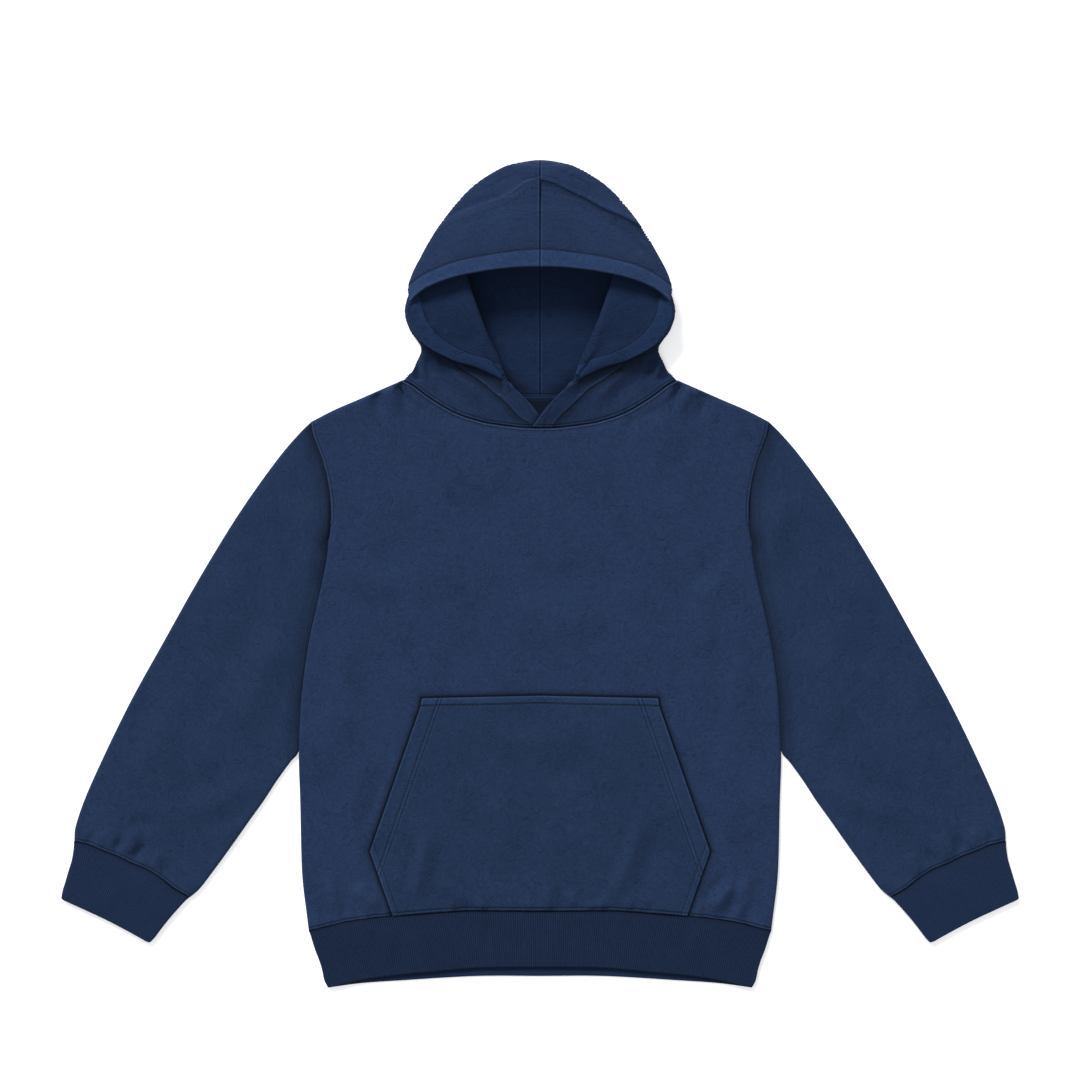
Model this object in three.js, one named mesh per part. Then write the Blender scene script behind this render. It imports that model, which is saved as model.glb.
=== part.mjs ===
// Pullover hoodie laid flat on its back, hood at the top, sleeves out to both sides.
//
// Millimetres. +X runs across the garment to the wearer's left, +Y from the hem up
// to the hood, +Z up from the table. The origin is on the table, under the middle
// of the garment's outline. The body is two cloth panels that lie on each other and
// meet in rolled side edges. Each sleeve, cuff and the hem band is a flattened tube.
// The hood is two panels joined along the middle, turned out at the front edge.

import * as THREE from 'three';

// Cloth
const clothThickness = 2.4;      // brushed fleece
const ribThickness = 2.6;        // rib knit, folded double and pressed
const pocketThickness = 2.0;
const hoodThickness = 2.2;
const brimThickness = 3.8;       // the hood's front edge, turned in and stitched
const brimWidth = 22;
const seamGap = 0.35;            // between two pieces sewn to each other
const armholeGap = 1.0;          // the same along the curved armhole
const hemGap = 1.0;              // and along the hem seam, which waves a little
const neckGap = 1.3;             // and round the neck
const stackHeight = 8.4;         // two body panels with the air between them
const sleeveHeight = 7.8;
const sleeveRootHeight = 5.6;    // where the body's side edge lies over the sleeve
const bandHeight = 7.4;          // hem band and cuffs

// Ribs of the hem band and the cuffs
const ribPitch = 4.7;
const ribHeight = 0.5;

// Outlines of the right half as seen from above, [x, y] in mm. The left half mirrors them.
const armholeLine = [[266, 177], [263.5, 162.5], [258, 147.5], [252.5, 133.5], [247.5, 115],
  [244.5, 98.5], [242.7, 82.5], [242.5, 65], [243, 52], [245, 40.5]];
const torsoSideLine = [[245, 40.5], [247.5, 19.5], [254, -14], [262, -48.5], [269.5, -86],
  [277, -145], [279.5, -211], [278, -261], [276, -342], [274, -365.5], [271, -388.5],
  [268, -412.5]];
const shoulderLine = [[158.5, 226], [185, 214.5], [211, 203], [239, 191], [266, 177]];
const frontNeckLine = [[0, 170.5], [20, 171], [42.5, 173.5], [64.5, 177], [85.5, 183],
  [101.5, 189.5], [116.5, 198], [131, 207.5], [146, 219], [158.5, 226]];
const backNeckLine = [[0, 206.5], [69.5, 209], [116, 214.5], [158.5, 226]];
const hemSeamLine = [[0, -389.5], [86, -389], [117, -391], [147.5, -393.5], [190, -397],
  [225, -402], [251.5, -408.5], [268, -412.5]];
const sleeveOuterLine = [[266, 177], [275.5, 168], [296, 145], [322.5, 110], [354, 64],
  [396.5, -6], [435.5, -75.5], [474, -145], [508, -214.5], [528.5, -261], [536.5, -284],
  [539.5, -296], [540, -308.5]];
const sleeveInnerLine = [[245, 40.5], [247.5, 19.5], [254, -14], [262, -48.5], [269.5, -86],
  [277, -145], [280.2, -205], [289, -216], [305, -238], [320, -261], [336.5, -284],
  [353, -307.5], [378, -342], [396, -365], [406, -373.5]];
const cuffSeamLine = [[540, -308.5], [522, -312.5], [504.5, -320], [489.5, -325.5],
  [474.5, -333], [454, -341.5], [439, -351], [424, -363], [406, -373.5]];
const cuffEndLine = [[555.2, -375], [525.5, -388.5], [501, -400], [478, -412], [452, -426.5]];
const cuffOuterLine = [[540, -308.5], [541, -319], [543, -330.5], [546.5, -342],
  [550, -354], [553.5, -365.5], [555.2, -375]];
const cuffInnerLine = [[406, -373.5], [410.5, -378], [421, -389.5], [430.5, -400.5],
  [439.5, -412], [447.5, -422.5], [452, -426.5]];
const hemSideLine = [[268, -412.5], [261, -435], [256.5, -446.5], [253, -458],
  [250.5, -470], [246, -478.5]];
const hemFrontEdge = [[0, -453.5], [71, -454.5], [129, -459.5], [167, -463],
  [205.5, -468.5], [225, -473], [246, -478.5]];
const hemBackEdge = [[0, -465], [71, -465], [160, -470], [209, -473.5], [246, -478.5]];

// Kangaroo pocket, [x, y] of its right half
const pocketTop = [[0, -139.5], [137, -142.5]];
const pocketSlant = [[142.5, -150], [197, -320]];
const pocketSide = [[197, -320], [170.5, -395]];

// Swells of the front panel above and beside the pocket: the ends of each, its half
// width and its height
const frontFolds = [
  { x1: -150, y1: 150, x2: -40, y2: 90, width: 30, height: 1.1 },
  { x1: 150, y1: 130, x2: 205, y2: 20, width: 30, height: 1.1 },
  { x1: -220, y1: 0, x2: -190, y2: -160, width: 28, height: 1.2 },
  { x1: 228, y1: -40, x2: 205, y2: -190, width: 28, height: 1.2 },
  { x1: -60, y1: -30, x2: 110, y2: -70, width: 34, height: 0.9 },
  { x1: 236, y1: -330, x2: 214, y2: -375, width: 22, height: 1.3 },
  { x1: -238, y1: -320, x2: -216, y2: -372, width: 22, height: 1.1 },
];

// Creases of the pocket, in the same columns
const pocketFolds = [
  { x1: 126, y1: -276, x2: 90, y2: -366, width: 13, height: 1.6 },
  { x1: -130, y1: -305, x2: -146, y2: -384, width: 12, height: 1.3 },
  { x1: -114, y1: -346, x2: -82, y2: -386, width: 11, height: 1.2 },
  { x1: 60, y1: -170, x2: -70, y2: -190, width: 26, height: 0.9 },
];

// Folds of each sleeve's upper side, in shares: u from the root to the cuff, v from the
// outer to the inner edge, with half width and height in mm
const sleeveFolds = [
  { u1: 0.99, v1: 0.18, u2: 0.90, v2: 0.22, width: 8, height: 1.3 },
  { u1: 0.99, v1: 0.44, u2: 0.90, v2: 0.42, width: 8, height: 1.7 },
  { u1: 0.99, v1: 0.70, u2: 0.89, v2: 0.62, width: 8, height: 1.4 },
  { u1: 0.62, v1: 0.80, u2: 0.80, v2: 0.50, width: 17, height: 1.3 },
  { u1: 0.22, v1: 0.62, u2: 0.46, v2: 0.78, width: 17, height: 1.1 },
  { u1: 0.50, v1: 0.22, u2: 0.74, v2: 0.34, width: 18, height: 0.9 },
];

// Hood, right panel. Rows run from the neck seam (s = 0) to the crown seam (s = 1).
// Each row gives the front edge (rim), the fold next to it, the roll line where the
// turned-out edge drops into the hood, the outside turn, [x, y, z], and the y where the
// row ends on the centre seam, on the table.
const hoodRows = [
  { s: 0.00, rim: [-9, 171.8, 8.2], fold: [24, 173, 8], roll: [50, 176, 7.6], turn: [157, 227.5, 4.2], end: 207.3 },
  { s: 0.09, rim: [12, 199, 15], fold: [28, 204, 15.5], roll: [46, 209, 14.5], turn: [146, 238, 5.5], end: 221 },
  { s: 0.17, rim: [36, 220.5, 21], fold: [39, 224, 23], roll: [42, 227, 22], turn: [137.5, 254, 7], end: 237 },
  { s: 0.25, rim: [70, 238.5, 25], fold: [60, 243, 28], roll: [48, 248, 26.5], turn: [136.5, 264, 7.5], end: 255 },
  { s: 0.34, rim: [104, 249.5, 27], fold: [86, 257, 30], roll: [57, 268, 29], turn: [141, 272, 8.5], end: 275 },
  { s: 0.45, rim: [137, 270, 30], fold: [112, 281, 32.5], roll: [66, 290, 31], turn: [149.5, 284.5, 10.5], end: 300 },
  { s: 0.57, rim: [154, 304, 38], fold: [140, 309, 34], roll: [75, 314, 32], turn: [155, 307, 13], end: 335 },
  { s: 0.67, rim: [137, 325.5, 46], fold: [150, 331, 33], roll: [84, 343, 30], turn: [147, 334, 12], end: 365 },
  { s: 0.77, rim: [105, 340, 50], fold: [138, 363, 31], roll: [88, 371, 25], turn: [131, 368, 11], end: 395 },
  { s: 0.88, rim: [62, 349, 52.5], fold: [109, 412, 26], roll: [92, 409, 17], turn: [99, 409, 8], end: 427 },
  { s: 0.95, rim: [27, 352.8, 54], fold: [72, 452, 24], roll: [71, 453, 15], turn: [66, 449, 7], end: 447 },
  { s: 0.98, rim: [11, 353.4, 54], fold: [37, 469.5, 29], roll: [38, 472.3, 18], turn: [37.5, 471.5, 8], end: 463 },
  { s: 1.00, rim: [0, 353.5, 54], fold: [0, 464, 36], roll: [0, 476.5, 23], turn: [0, 478.9, 12], end: 470 },
];

// Where the named points and those between them lie along a row: rim, crown, fold,
// lapel, above the roll, roll, below it, side wall, turn, under it, floor, end
const hoodShares = [0, 0.11, 0.22, 0.33, 0.41, 0.45, 0.49, 0.60, 0.74, 0.79, 0.90, 1];
const rollReach = 5;              // how far the roll line's round reaches each way
const rollDrop = 2.8;             // and up and down
const overlapLift = 4.6;          // the wearer's left edge lies on the other at the neck

// Wrinkles on the crown, [x, y] ends seen from above, with half width and height
const crownFolds = [
  { x1: -108, y1: 415, x2: -12, y2: 450, width: 8, height: 2.0 },
  { x1: 4, y1: 451, x2: 112, y2: 402, width: 8, height: 2.2 },
  { x1: 28, y1: 467, x2: 46, y2: 441, width: 6, height: 1.4 },
  { x1: -70, y1: 372, x2: -128, y2: 350, width: 10, height: 1.2 },
];

// A smooth line through points, read by share of its length
function smoothLine(points) {
  const vectors = points.map(([x, y]) => new THREE.Vector3(x, y, 0));
  const line = new THREE.CatmullRomCurve3(vectors, false, 'centripetal');
  line.arcLengthDivisions = 400;
  return (share) => line.getPointAt(Math.min(Math.max(share, 0), 1));
}

// Two lines one after the other, the corner between them at the given share
function joinedLines(first, second, corner) {
  return (share) => (share <= corner
    ? first(share / corner)
    : second((share - corner) / (1 - corner)));
}

function mirrored(line) {
  return (share) => {
    const p = line(share);
    return new THREE.Vector3(-p.x, p.y, p.z);
  };
}

function reversed(line) {
  return (share) => line(1 - share);
}

// A point inside four outline curves: bottom and top by u, left and right by v
function patchPoint(bottom, top, left, right, u, v) {
  const across = left(v).multiplyScalar(1 - u).add(right(v).multiplyScalar(u));
  const along = bottom(u).multiplyScalar(1 - v).add(top(u).multiplyScalar(v));
  const corners = bottom(0).multiplyScalar((1 - u) * (1 - v))
    .add(bottom(1).multiplyScalar(u * (1 - v)))
    .add(top(0).multiplyScalar((1 - u) * v))
    .add(top(1).multiplyScalar(u * v));
  return across.add(along).sub(corners);
}

function smoothStep(from, to, value) {
  const t = Math.min(Math.max((value - from) / (to - from), 0), 1);
  return t * t * (3 - 2 * t);
}

// Height of a set of soft ridges at a point
function foldHeight(folds, x, y) {
  let height = 0;
  for (const f of folds) {
    const dx = f.x2 - f.x1;
    const dy = f.y2 - f.y1;
    const along = ((x - f.x1) * dx + (y - f.y1) * dy) / (dx * dx + dy * dy);
    const t = Math.min(Math.max(along, 0), 1);
    const away = Math.hypot(x - f.x1 - t * dx, y - f.y1 - t * dy) / f.width;
    const ends = smoothStep(-0.25, 0.25, along) * smoothStep(1.25, 0.75, along);
    height += f.height * ends * Math.exp(-away * away);
  }
  return height;
}

// Normals of a grid of points, pointing to the side from which rows run up and columns right
function gridNormals(grid, around) {
  const rows = grid.length;
  const columns = grid[0].length;
  return grid.map((row, i) => row.map((point, j) => {
    const up = grid[Math.min(i + 1, rows - 1)][j].clone().sub(grid[Math.max(i - 1, 0)][j]);
    const next = around ? (j + 1) % columns : Math.min(j + 1, columns - 1);
    const last = around ? (j + columns - 1) % columns : Math.max(j - 1, 0);
    const side = row[next].clone().sub(row[last]);
    return side.cross(up).normalize();
  }));
}

// A closed wall between an outer and an inner grid. They have the same columns, and
// all round a section the inner one may have fewer rows.
function wall(outer, inner, around) {
  const columns = outer[0].length;
  const positions = [];
  for (const grid of [outer, inner]) {
    for (const row of grid) for (const p of row) positions.push(p.x, p.y, p.z);
  }
  const out = (i, j) => i * columns + (j % columns);
  const back = (i, j) => outer.length * columns + i * columns + (j % columns);
  const faces = [];
  const quad = (a, b, c, d) => faces.push(a, b, c, a, c, d);
  const span = around ? columns : columns - 1;
  const outEnd = outer.length - 1;
  const backEnd = inner.length - 1;
  for (let j = 0; j < span; j += 1) {
    for (let i = 0; i < outEnd; i += 1) {
      quad(out(i, j), out(i, j + 1), out(i + 1, j + 1), out(i + 1, j));
    }
    for (let i = 0; i < backEnd; i += 1) {
      quad(back(i, j), back(i + 1, j), back(i + 1, j + 1), back(i, j + 1));
    }
    quad(out(0, j), back(0, j), back(0, j + 1), out(0, j + 1));
    quad(out(outEnd, j), out(outEnd, j + 1), back(backEnd, j + 1), back(backEnd, j));
  }
  if (!around) {
    const last = columns - 1;
    for (let i = 0; i < outEnd; i += 1) {
      quad(out(i, 0), out(i + 1, 0), back(i + 1, 0), back(i, 0));
      quad(out(i, last), back(i, last), back(i + 1, last), out(i + 1, last));
    }
  }
  const geometry = new THREE.BufferGeometry();
  geometry.setAttribute('position', new THREE.Float32BufferAttribute(positions, 3));
  geometry.setIndex(faces);
  geometry.computeVertexNormals();
  return geometry;
}

// The grid moved along its normals, away from the outside
function innerGrid(outer, thickness, around) {
  const normals = gridNormals(outer, around);
  return outer.map((row, i) => row.map((p, j) => p.clone().addScaledVector(normals[i][j], -thickness)));
}

function mirrorGrid(grid) {
  return grid.map((row) => row.map((p) => new THREE.Vector3(-p.x, p.y, p.z)).reverse());
}

function shares(count) {
  return Array.from({ length: count + 1 }, (_, i) => i / count);
}

// Steps round a rolled edge: distance in and height over its middle, per unit radius
const rollSteps = [0, 32, 62, 90].map((degrees) => {
  const angle = THREE.MathUtils.degToRad(degrees);
  return { inward: 1 - Math.cos(angle), rise: Math.sin(angle) };
});

function moved(line, x, y) {
  return (share) => line(share).add(new THREE.Vector3(x, y, 0));
}

// The body panels

const bodyRollRadius = stackHeight / 2;
const underarmShare = 0.765;      // of the side outline, from the hem
const neckShare = 0.6;            // of the upper outline, from the middle
const bodySide = joinedLines(
  reversed(smoothLine(torsoSideLine)),
  reversed(smoothLine(armholeLine)),
  underarmShare,
);

function insidePocket(x, y) {
  const halfWidth = y > -320 ? 137 + (-142 - y) * 0.337 : 197 + (y + 320) * 0.35;
  const beside = smoothStep(2, 24, Math.abs(x) - halfWidth);
  const above = smoothStep(2, 24, y + 141);
  return 1 - Math.max(beside, above);
}

function frontHeight(x, y) {
  return stackHeight + foldHeight(frontFolds, x, y) * (1 - insidePocket(x, y));
}

// Front or back panel, from side to side and from the hem seam to the neck
function bodyGrid(neckPoints, isFront) {
  const hemHalf = smoothLine(hemSeamLine);
  const hem = joinedLines(reversed(mirrored(hemHalf)), hemHalf, 0.5);
  const upperHalf = joinedLines(smoothLine(neckPoints), smoothLine(shoulderLine), neckShare);
  const upper = joinedLines(reversed(mirrored(upperHalf)), upperHalf, 0.5);
  const left = mirrored(bodySide);
  const columns = isFront ? 24 : 12;
  const across = shares(columns).map((share) => 0.02 + 0.96 * share);
  const along = [
    ...shares(13).map((share) => share * underarmShare),
    ...shares(9).slice(1).map((share) => underarmShare + share * (0.982 - underarmShare)),
  ];
  for (const step of rollSteps.slice(0, 3)) along.push(1 - step.inward * bodyRollRadius / 600);
  along.sort((a, b) => a - b);
  const middle = bodyRollRadius + (isFront ? seamGap / 2 : -seamGap / 2);
  return along.map((v) => {
    const width = left(v).distanceTo(bodySide(v));
    const edgeSteps = rollSteps.slice(0, 3).map((step) => step.inward * bodyRollRadius / width);
    const places = [...edgeSteps, ...across, ...edgeSteps.map((step) => 1 - step).reverse()];
    return places.map((u, k) => {
      const p = patchPoint(hem, upper, left, bodySide, u, v);
      p.y += hemGap * smoothStep(0.08, 0, v);
      const crest = isFront ? frontHeight(p.x, p.y) : 0;
      const fromEdge = Math.min(k, places.length - 1 - k);
      const sideRise = fromEdge < 3 ? rollSteps[fromEdge].rise : 1;
      const beltRise = sideRise + (1 - sideRise) * smoothStep(underarmShare - 0.02, underarmShare, v);
      const fromTop = (1 - v) * 600 / bodyRollRadius;
      const topRise = fromTop < 1 ? Math.sqrt(1 - (1 - fromTop) ** 2) : 1;
      const onShoulder = smoothStep(neckShare - 0.02, neckShare + 0.02, Math.abs(2 * u - 1));
      const rise = beltRise * (1 + (topRise - 1) * onShoulder);
      p.z = middle + (crest - middle) * rise;
      return p;
    });
  });
}

function bodyPanel(neckPoints, isFront) {
  const grid = bodyGrid(neckPoints, isFront);
  const outer = isFront ? grid : grid.map((row) => row.slice().reverse());
  const inner = innerGrid(outer, clothThickness, false);
  // Along a rolled edge the two panels meet square, half way up
  outer.forEach((row, i) => row.forEach((p, j) => {
    const onEdge = j === 0 || j === row.length - 1 || i === outer.length - 1;
    if (!onEdge || Math.abs(p.z - bodyRollRadius) > 1) return;
    const inward = inner[i][j].clone().sub(p).setZ(0).setLength(clothThickness);
    inner[i][j].copy(p).add(inward);
  }));
  return wall(outer, inner, false);
}

// Sleeves, cuffs and the hem band

// A flattened tube: rows from the near to the far end, each all round its section.
// Returns the plain grid and the one with the ribs and folds of the upper side.
function tubeGrids({ edges, ends, along, across, under, heights, raise }) {
  const plain = [];
  const raised = [];
  for (const u of along) {
    const width = edges.outer(u).distanceTo(edges.inner(u));
    const { outerHeight, innerHeight, height } = heights(u);
    const place = (v, z, onBack) => {
      const far = onBack && ends.backFar ? ends.backFar : ends.far;
      const p = patchPoint(edges.outer, edges.inner, ends.near, far, u, v);
      p.z = z;
      return p;
    };
    const edgePoints = (radius, isInner, sign) => rollSteps.map((step) => {
      const share = step.inward * radius / width;
      return place(isInner ? 1 - share : share, radius + sign * step.rise * radius, sign < 0);
    });
    const crest = (v) => {
      const middle = outerHeight + (height - outerHeight) * smoothStep(0, 0.2, v);
      return middle + (innerHeight - middle) * smoothStep(0.62, 1, v);
    };
    const upper = [
      ...edgePoints(outerHeight / 2, false, 1),
      ...across.map((v) => place(v, crest(v), false)),
      ...edgePoints(innerHeight / 2, true, 1).reverse(),
    ];
    const lower = [
      ...edgePoints(innerHeight / 2, true, -1).slice(1),
      ...under.slice().reverse().map((v) => place(v, 0, true)),
      ...edgePoints(outerHeight / 2, false, -1).slice(1).reverse(),
    ];
    plain.push([...upper, ...lower]);
    const first = rollSteps.length;
    raised.push([...upper, ...lower].map((p, k) => {
      const onTop = k >= first && k < first + across.length;
      return onTop ? p.clone().setZ(p.z + raise(u, across[k - first], k - first)) : p.clone();
    }));
  }
  return { plain, raised };
}

function tubeWall({ plain, raised }, thickness, everyRow, side) {
  const inner = innerGrid(plain, thickness, true)
    .filter((_, i) => i % everyRow === 0 || i === plain.length - 1);
  // At the underarm the two edges run on in one line, so the wall's underside is held level
  inner.flat().forEach((p) => p.setZ(Math.max(p.z, thickness * 0.85)));
  return side > 0
    ? wall(raised, inner, true)
    : wall(mirrorGrid(raised), mirrorGrid(inner), true);
}

function sleeve(side) {
  const outer = moved(smoothLine(sleeveOuterLine), armholeGap, 0);
  const inner = moved(smoothLine(sleeveInnerLine), armholeGap, 0);
  const near = moved(smoothLine(armholeLine), armholeGap, 0);
  const far = moved(smoothLine(cuffSeamLine), armholeGap, 0);
  const turned = (f) => (side > 0 ? f : { ...f, u1: f.u1 + 0.005, v1: f.v1 + 0.05, v2: f.v2 - 0.04 });
  const grids = tubeGrids({
    edges: { outer, inner },
    ends: { near, far },
    along: [...shares(17).map((share) => share * 0.9), 0.925, 0.95, 0.975, 1],
    across: shares(10).map((share) => 0.05 + 0.9 * share),
    under: [0.07, 0.3, 0.55, 0.8, 0.93],
    heights: (u) => ({
      outerHeight: sleeveHeight,
      innerHeight: sleeveRootHeight + (sleeveHeight - sleeveRootHeight) * smoothStep(0.55, 0.8, u),
      height: sleeveHeight + 0.8,
    }),
    raise: (u, v) => {
      let height = 0;
      for (const f of sleeveFolds.map(turned)) {
        height += foldHeight([{
          x1: f.u1 * 600, y1: f.v1 * 165, x2: f.u2 * 600, y2: f.v2 * 165, width: f.width, height: f.height,
        }], u * 600, v * 165);
      }
      return height * smoothStep(0, 0.1, v) * smoothStep(1, 0.9, v);
    },
  });
  return tubeWall(grids, clothThickness, 2, side);
}

// Shares across a rib knit's upper side: a valley and a crest for each rib
function ribShares(width) {
  const count = Math.round(width * 0.96 / ribPitch);
  return shares(count * 2).map((share) => 0.02 + 0.96 * share);
}

function cuff(side) {
  const dx = armholeGap + 0.8;
  const dy = -1.3;
  const across = ribShares(146);
  const grids = tubeGrids({
    edges: {
      outer: moved(smoothLine(cuffOuterLine), dx, dy),
      inner: moved(smoothLine(cuffInnerLine), dx, dy),
    },
    ends: {
      near: moved(smoothLine(cuffSeamLine), dx, dy),
      far: moved(smoothLine(cuffEndLine), dx, dy),
    },
    along: [0, 0.5, 1],
    across,
    under: across.filter((_, k) => k % 10 === 5),
    heights: () => ({ outerHeight: bandHeight, innerHeight: bandHeight, height: bandHeight + 0.4 }),
    raise: (u, v, k) => (k % 2 === 1 ? ribHeight : 0),
  });
  return tubeWall(grids, ribThickness, 2, side);
}

function hemBand() {
  const seam = smoothLine(hemSeamLine);
  const front = smoothLine(hemFrontEdge);
  const back = smoothLine(hemBackEdge);
  const whole = (half) => joinedLines(reversed(half), mirrored(half), 0.5);
  const across = ribShares(520);
  const grids = tubeGrids({
    edges: { outer: smoothLine(hemSideLine), inner: mirrored(smoothLine(hemSideLine)) },
    ends: { near: whole(seam), far: whole(front), backFar: whole(back) },
    along: [0, 0.5, 1],
    across,
    under: across.filter((_, k) => k % 12 === 6),
    heights: () => ({ outerHeight: bandHeight, innerHeight: bandHeight, height: bandHeight }),
    raise: (u, v, k) => (k % 2 === 1 ? ribHeight : 0),
  });
  return tubeWall(grids, ribThickness, 2, 1);
}

// The kangaroo pocket, lying on the front panel

function straightLine(points) {
  const path = new THREE.CurvePath();
  for (let i = 1; i < points.length; i += 1) {
    path.add(new THREE.LineCurve3(
      new THREE.Vector3(points[i - 1][0], points[i - 1][1], 0),
      new THREE.Vector3(points[i][0], points[i][1], 0),
    ));
  }
  return (share) => path.getPoint(Math.min(Math.max(share, 0), 1));
}

function pocket() {
  const slant = straightLine([pocketSlant[1], pocketSlant[0], pocketTop[1]]);
  const right = joinedLines(straightLine([pocketSide[1], pocketSide[0]]), slant, 0.3);
  const left = mirrored(right);
  const topHalf = straightLine(pocketTop);
  const top = joinedLines(reversed(mirrored(topHalf)), topHalf, 0.5);
  const bottomHalf = straightLine([[0, -388.2], [86, -387.6], [117, -389.8], [147.5, -392.2], [170.5, -394.2]]);
  const bottom = joinedLines(reversed(mirrored(bottomHalf)), bottomHalf, 0.5);
  const along = [0, 0.1, 0.2, 0.3, 0.44, 0.58, 0.72, 0.86, 0.965, 1];
  const grid = (height) => along.map((v) => shares(16).map((u) => {
    const p = patchPoint(bottom, top, left, right, u, v);
    const edge = Math.min(u, 1 - u, v, 1 - v) * 10;
    p.z = height + foldHeight(pocketFolds, p.x, p.y) * smoothStep(0, 1, edge);
    return p;
  }));
  const outer = grid(stackHeight + seamGap + pocketThickness);
  const inner = grid(stackHeight + seamGap);
  return wall(outer, inner, false);
}

// The hood

// A value between knots, smooth through each. A level end meets its mirror without a peak.
function throughKnots(knots, values, at, levelEnd = false) {
  let k = 0;
  while (k < knots.length - 2 && at > knots[k + 1]) k += 1;
  const slope = (i) => {
    const a = Math.max(i - 1, 0);
    const b = Math.min(i + 1, knots.length - 1);
    const rise = values[b].clone().sub(values[a]).divideScalar(knots[b] - knots[a]);
    return levelEnd && i === knots.length - 1 ? rise.setY(0).setZ(0) : rise;
  };
  const span = knots[k + 1] - knots[k];
  const t = (at - knots[k]) / span;
  const s0 = slope(k).multiplyScalar(span * (t - 2 * t * t + t * t * t));
  const s1 = slope(k + 1).multiplyScalar(span * (t * t * t - t * t));
  const blend = t * t * (3 - 2 * t);
  return values[k].clone().multiplyScalar(1 - blend)
    .addScaledVector(values[k + 1], blend).add(s0).add(s1);
}

const hoodFloor = hoodThickness / 2;

// All the knots of one row, with those between the named ones
function hoodKnots(row) {
  const [rim, fold, roll, turn] = [row.rim, row.fold, row.roll, row.turn]
    .map((p) => new THREE.Vector3(...p));
  const end = new THREE.Vector3(0, row.end, hoodFloor);
  const rolled = smoothStep(0.09, 0.25, row.s) * smoothStep(0.98, 0.85, row.s);
  const half = (a, b, rise = 0) => a.clone().lerp(b, 0.5).add(new THREE.Vector3(0, 0, rise));
  const toward = (a, b, drop) => a.clone()
    .addScaledVector(b.clone().sub(a).normalize(), rollReach)
    .add(new THREE.Vector3(0, 0, drop * rolled));
  const above = toward(roll, fold, rollDrop);
  const below = toward(roll, turn, -rollDrop);
  const under = turn.clone().lerp(end, Math.min(12 / turn.distanceTo(end), 0.3));
  under.z = Math.min(hoodFloor + 1.2 + 0.1 * turn.z, turn.z);
  const floor = half(turn, end);
  floor.z = hoodFloor;
  const bulge = 5 * smoothStep(0.6, 0.85, row.s);
  return [rim, half(rim, fold, bulge), fold, half(fold, roll), above, roll, below,
    half(roll, turn, -1.5 * rolled), turn, under, floor, end];
}

const neckFront = smoothLine(frontNeckLine);
const neckBack = smoothLine(backNeckLine);

// The neck seam, following the body's neck: front edge, side, middle of the back
function neckSeamPoint(t) {
  const turnShare = hoodShares[8];
  const gap = neckGap;
  if (t >= turnShare) {
    const p = neckBack(1 - (t - turnShare) / (1 - turnShare));
    const rise = smoothStep(turnShare + 0.06, turnShare, t);
    return new THREE.Vector3(p.x, p.y + gap, hoodFloor + rise * (bodyRollRadius - hoodFloor));
  }
  const share = (t / turnShare) * 1.05 - 0.05;
  const z = bodyRollRadius + (stackHeight - 1 - bodyRollRadius) * smoothStep(1, 0.9, share);
  if (share >= 0) {
    const p = neckFront(share);
    return new THREE.Vector3(p.x, p.y + gap, z);
  }
  return new THREE.Vector3(share * 180, frontNeckLine[0][1] + gap + share * -20, z);
}

function hoodPoint(s, t, lift) {
  const knots = hoodRows.map((row) => row.s);
  const points = hoodRows.map((row, i) => (
    i === 0 ? neckSeamPoint(t) : throughKnots(hoodShares, hoodKnots(row), t)));
  const p = throughKnots(knots, points, s, true);
  const atCrossing = smoothStep(48, 14, p.x) * smoothStep(0.3, 0.14, s) * smoothStep(0.6, 0.4, t);
  p.z = Math.max(p.z, hoodFloor) + lift * atCrossing;
  return p;
}

function hoodPanel(side) {
  const lift = side > 0 ? overlapLift : 0;
  const rows = [0, 0.04, 0.085, 0.13, 0.17, 0.21, 0.255, 0.31, 0.38, 0.45, 0.51, 0.57, 0.62,
    0.68, 0.75, 0.82, 0.885, 0.93, 0.965, 0.985, 1];
  const middle = [];
  const distances = [];
  for (const s of rows) {
    const fine = shares(60).map((t) => hoodPoint(s, t, lift));
    let brimShare = 0;
    let travelled = 0;
    for (let k = 1; k < fine.length && travelled < brimWidth; k += 1) {
      travelled += fine[k].distanceTo(fine[k - 1]);
      brimShare = k / 60;
    }
    const rest = [0.25, 0.31, 0.37, 0.41, 0.43, 0.45, 0.47, 0.49, 0.54, 0.6, 0.66, 0.71, 0.74,
      0.765, 0.8, 0.86, 0.93, 1];
    const start = Math.min(brimShare, 0.21);
    const columns = [0, start * 0.5, start * 0.96, start * 1.04, ...rest];
    middle.push(columns.map((t) => hoodPoint(s, t, lift)));
    distances.push(columns.map((t) => t <= start));
  }
  const normals = gridNormals(middle, false);
  const offset = (depth) => middle.map((row, i) => row.map((p, j) => {
    const q = p.clone().addScaledVector(normals[i][j], depth(i, j, p));
    q.z = Math.max(q.z, 0);
    if (i === rows.length - 1 || j === row.length - 1) q.x = seamGap / 2;
    else if (i > 4) q.x = Math.max(q.x, seamGap / 2);
    return q;
  }));
  const outer = offset(() => hoodThickness / 2);
  for (let i = 0; i < rows.length; i += 1) {
    for (let j = 0; j < 6; j += 1) {
      if (rows[i] > 0.6) outer[i][j].z += foldHeight(crownFolds, side * outer[i][j].x, outer[i][j].y);
    }
  }
  const inner = offset((i, j) => (distances[i][j]
    ? hoodThickness / 2 - brimThickness
    : -hoodThickness / 2));
  return side > 0
    ? wall(outer, inner, false)
    : wall(mirrorGrid(outer), mirrorGrid(inner), false);
}

// The whole garment

const fleece = new THREE.MeshStandardMaterial({ name: 'fleece', color: 0x283751, roughness: 0.95 });
const rib = new THREE.MeshStandardMaterial({ name: 'rib', color: 0x1d2942, roughness: 0.95 });

const garment = new THREE.Group();
garment.name = 'hoodie';

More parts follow.
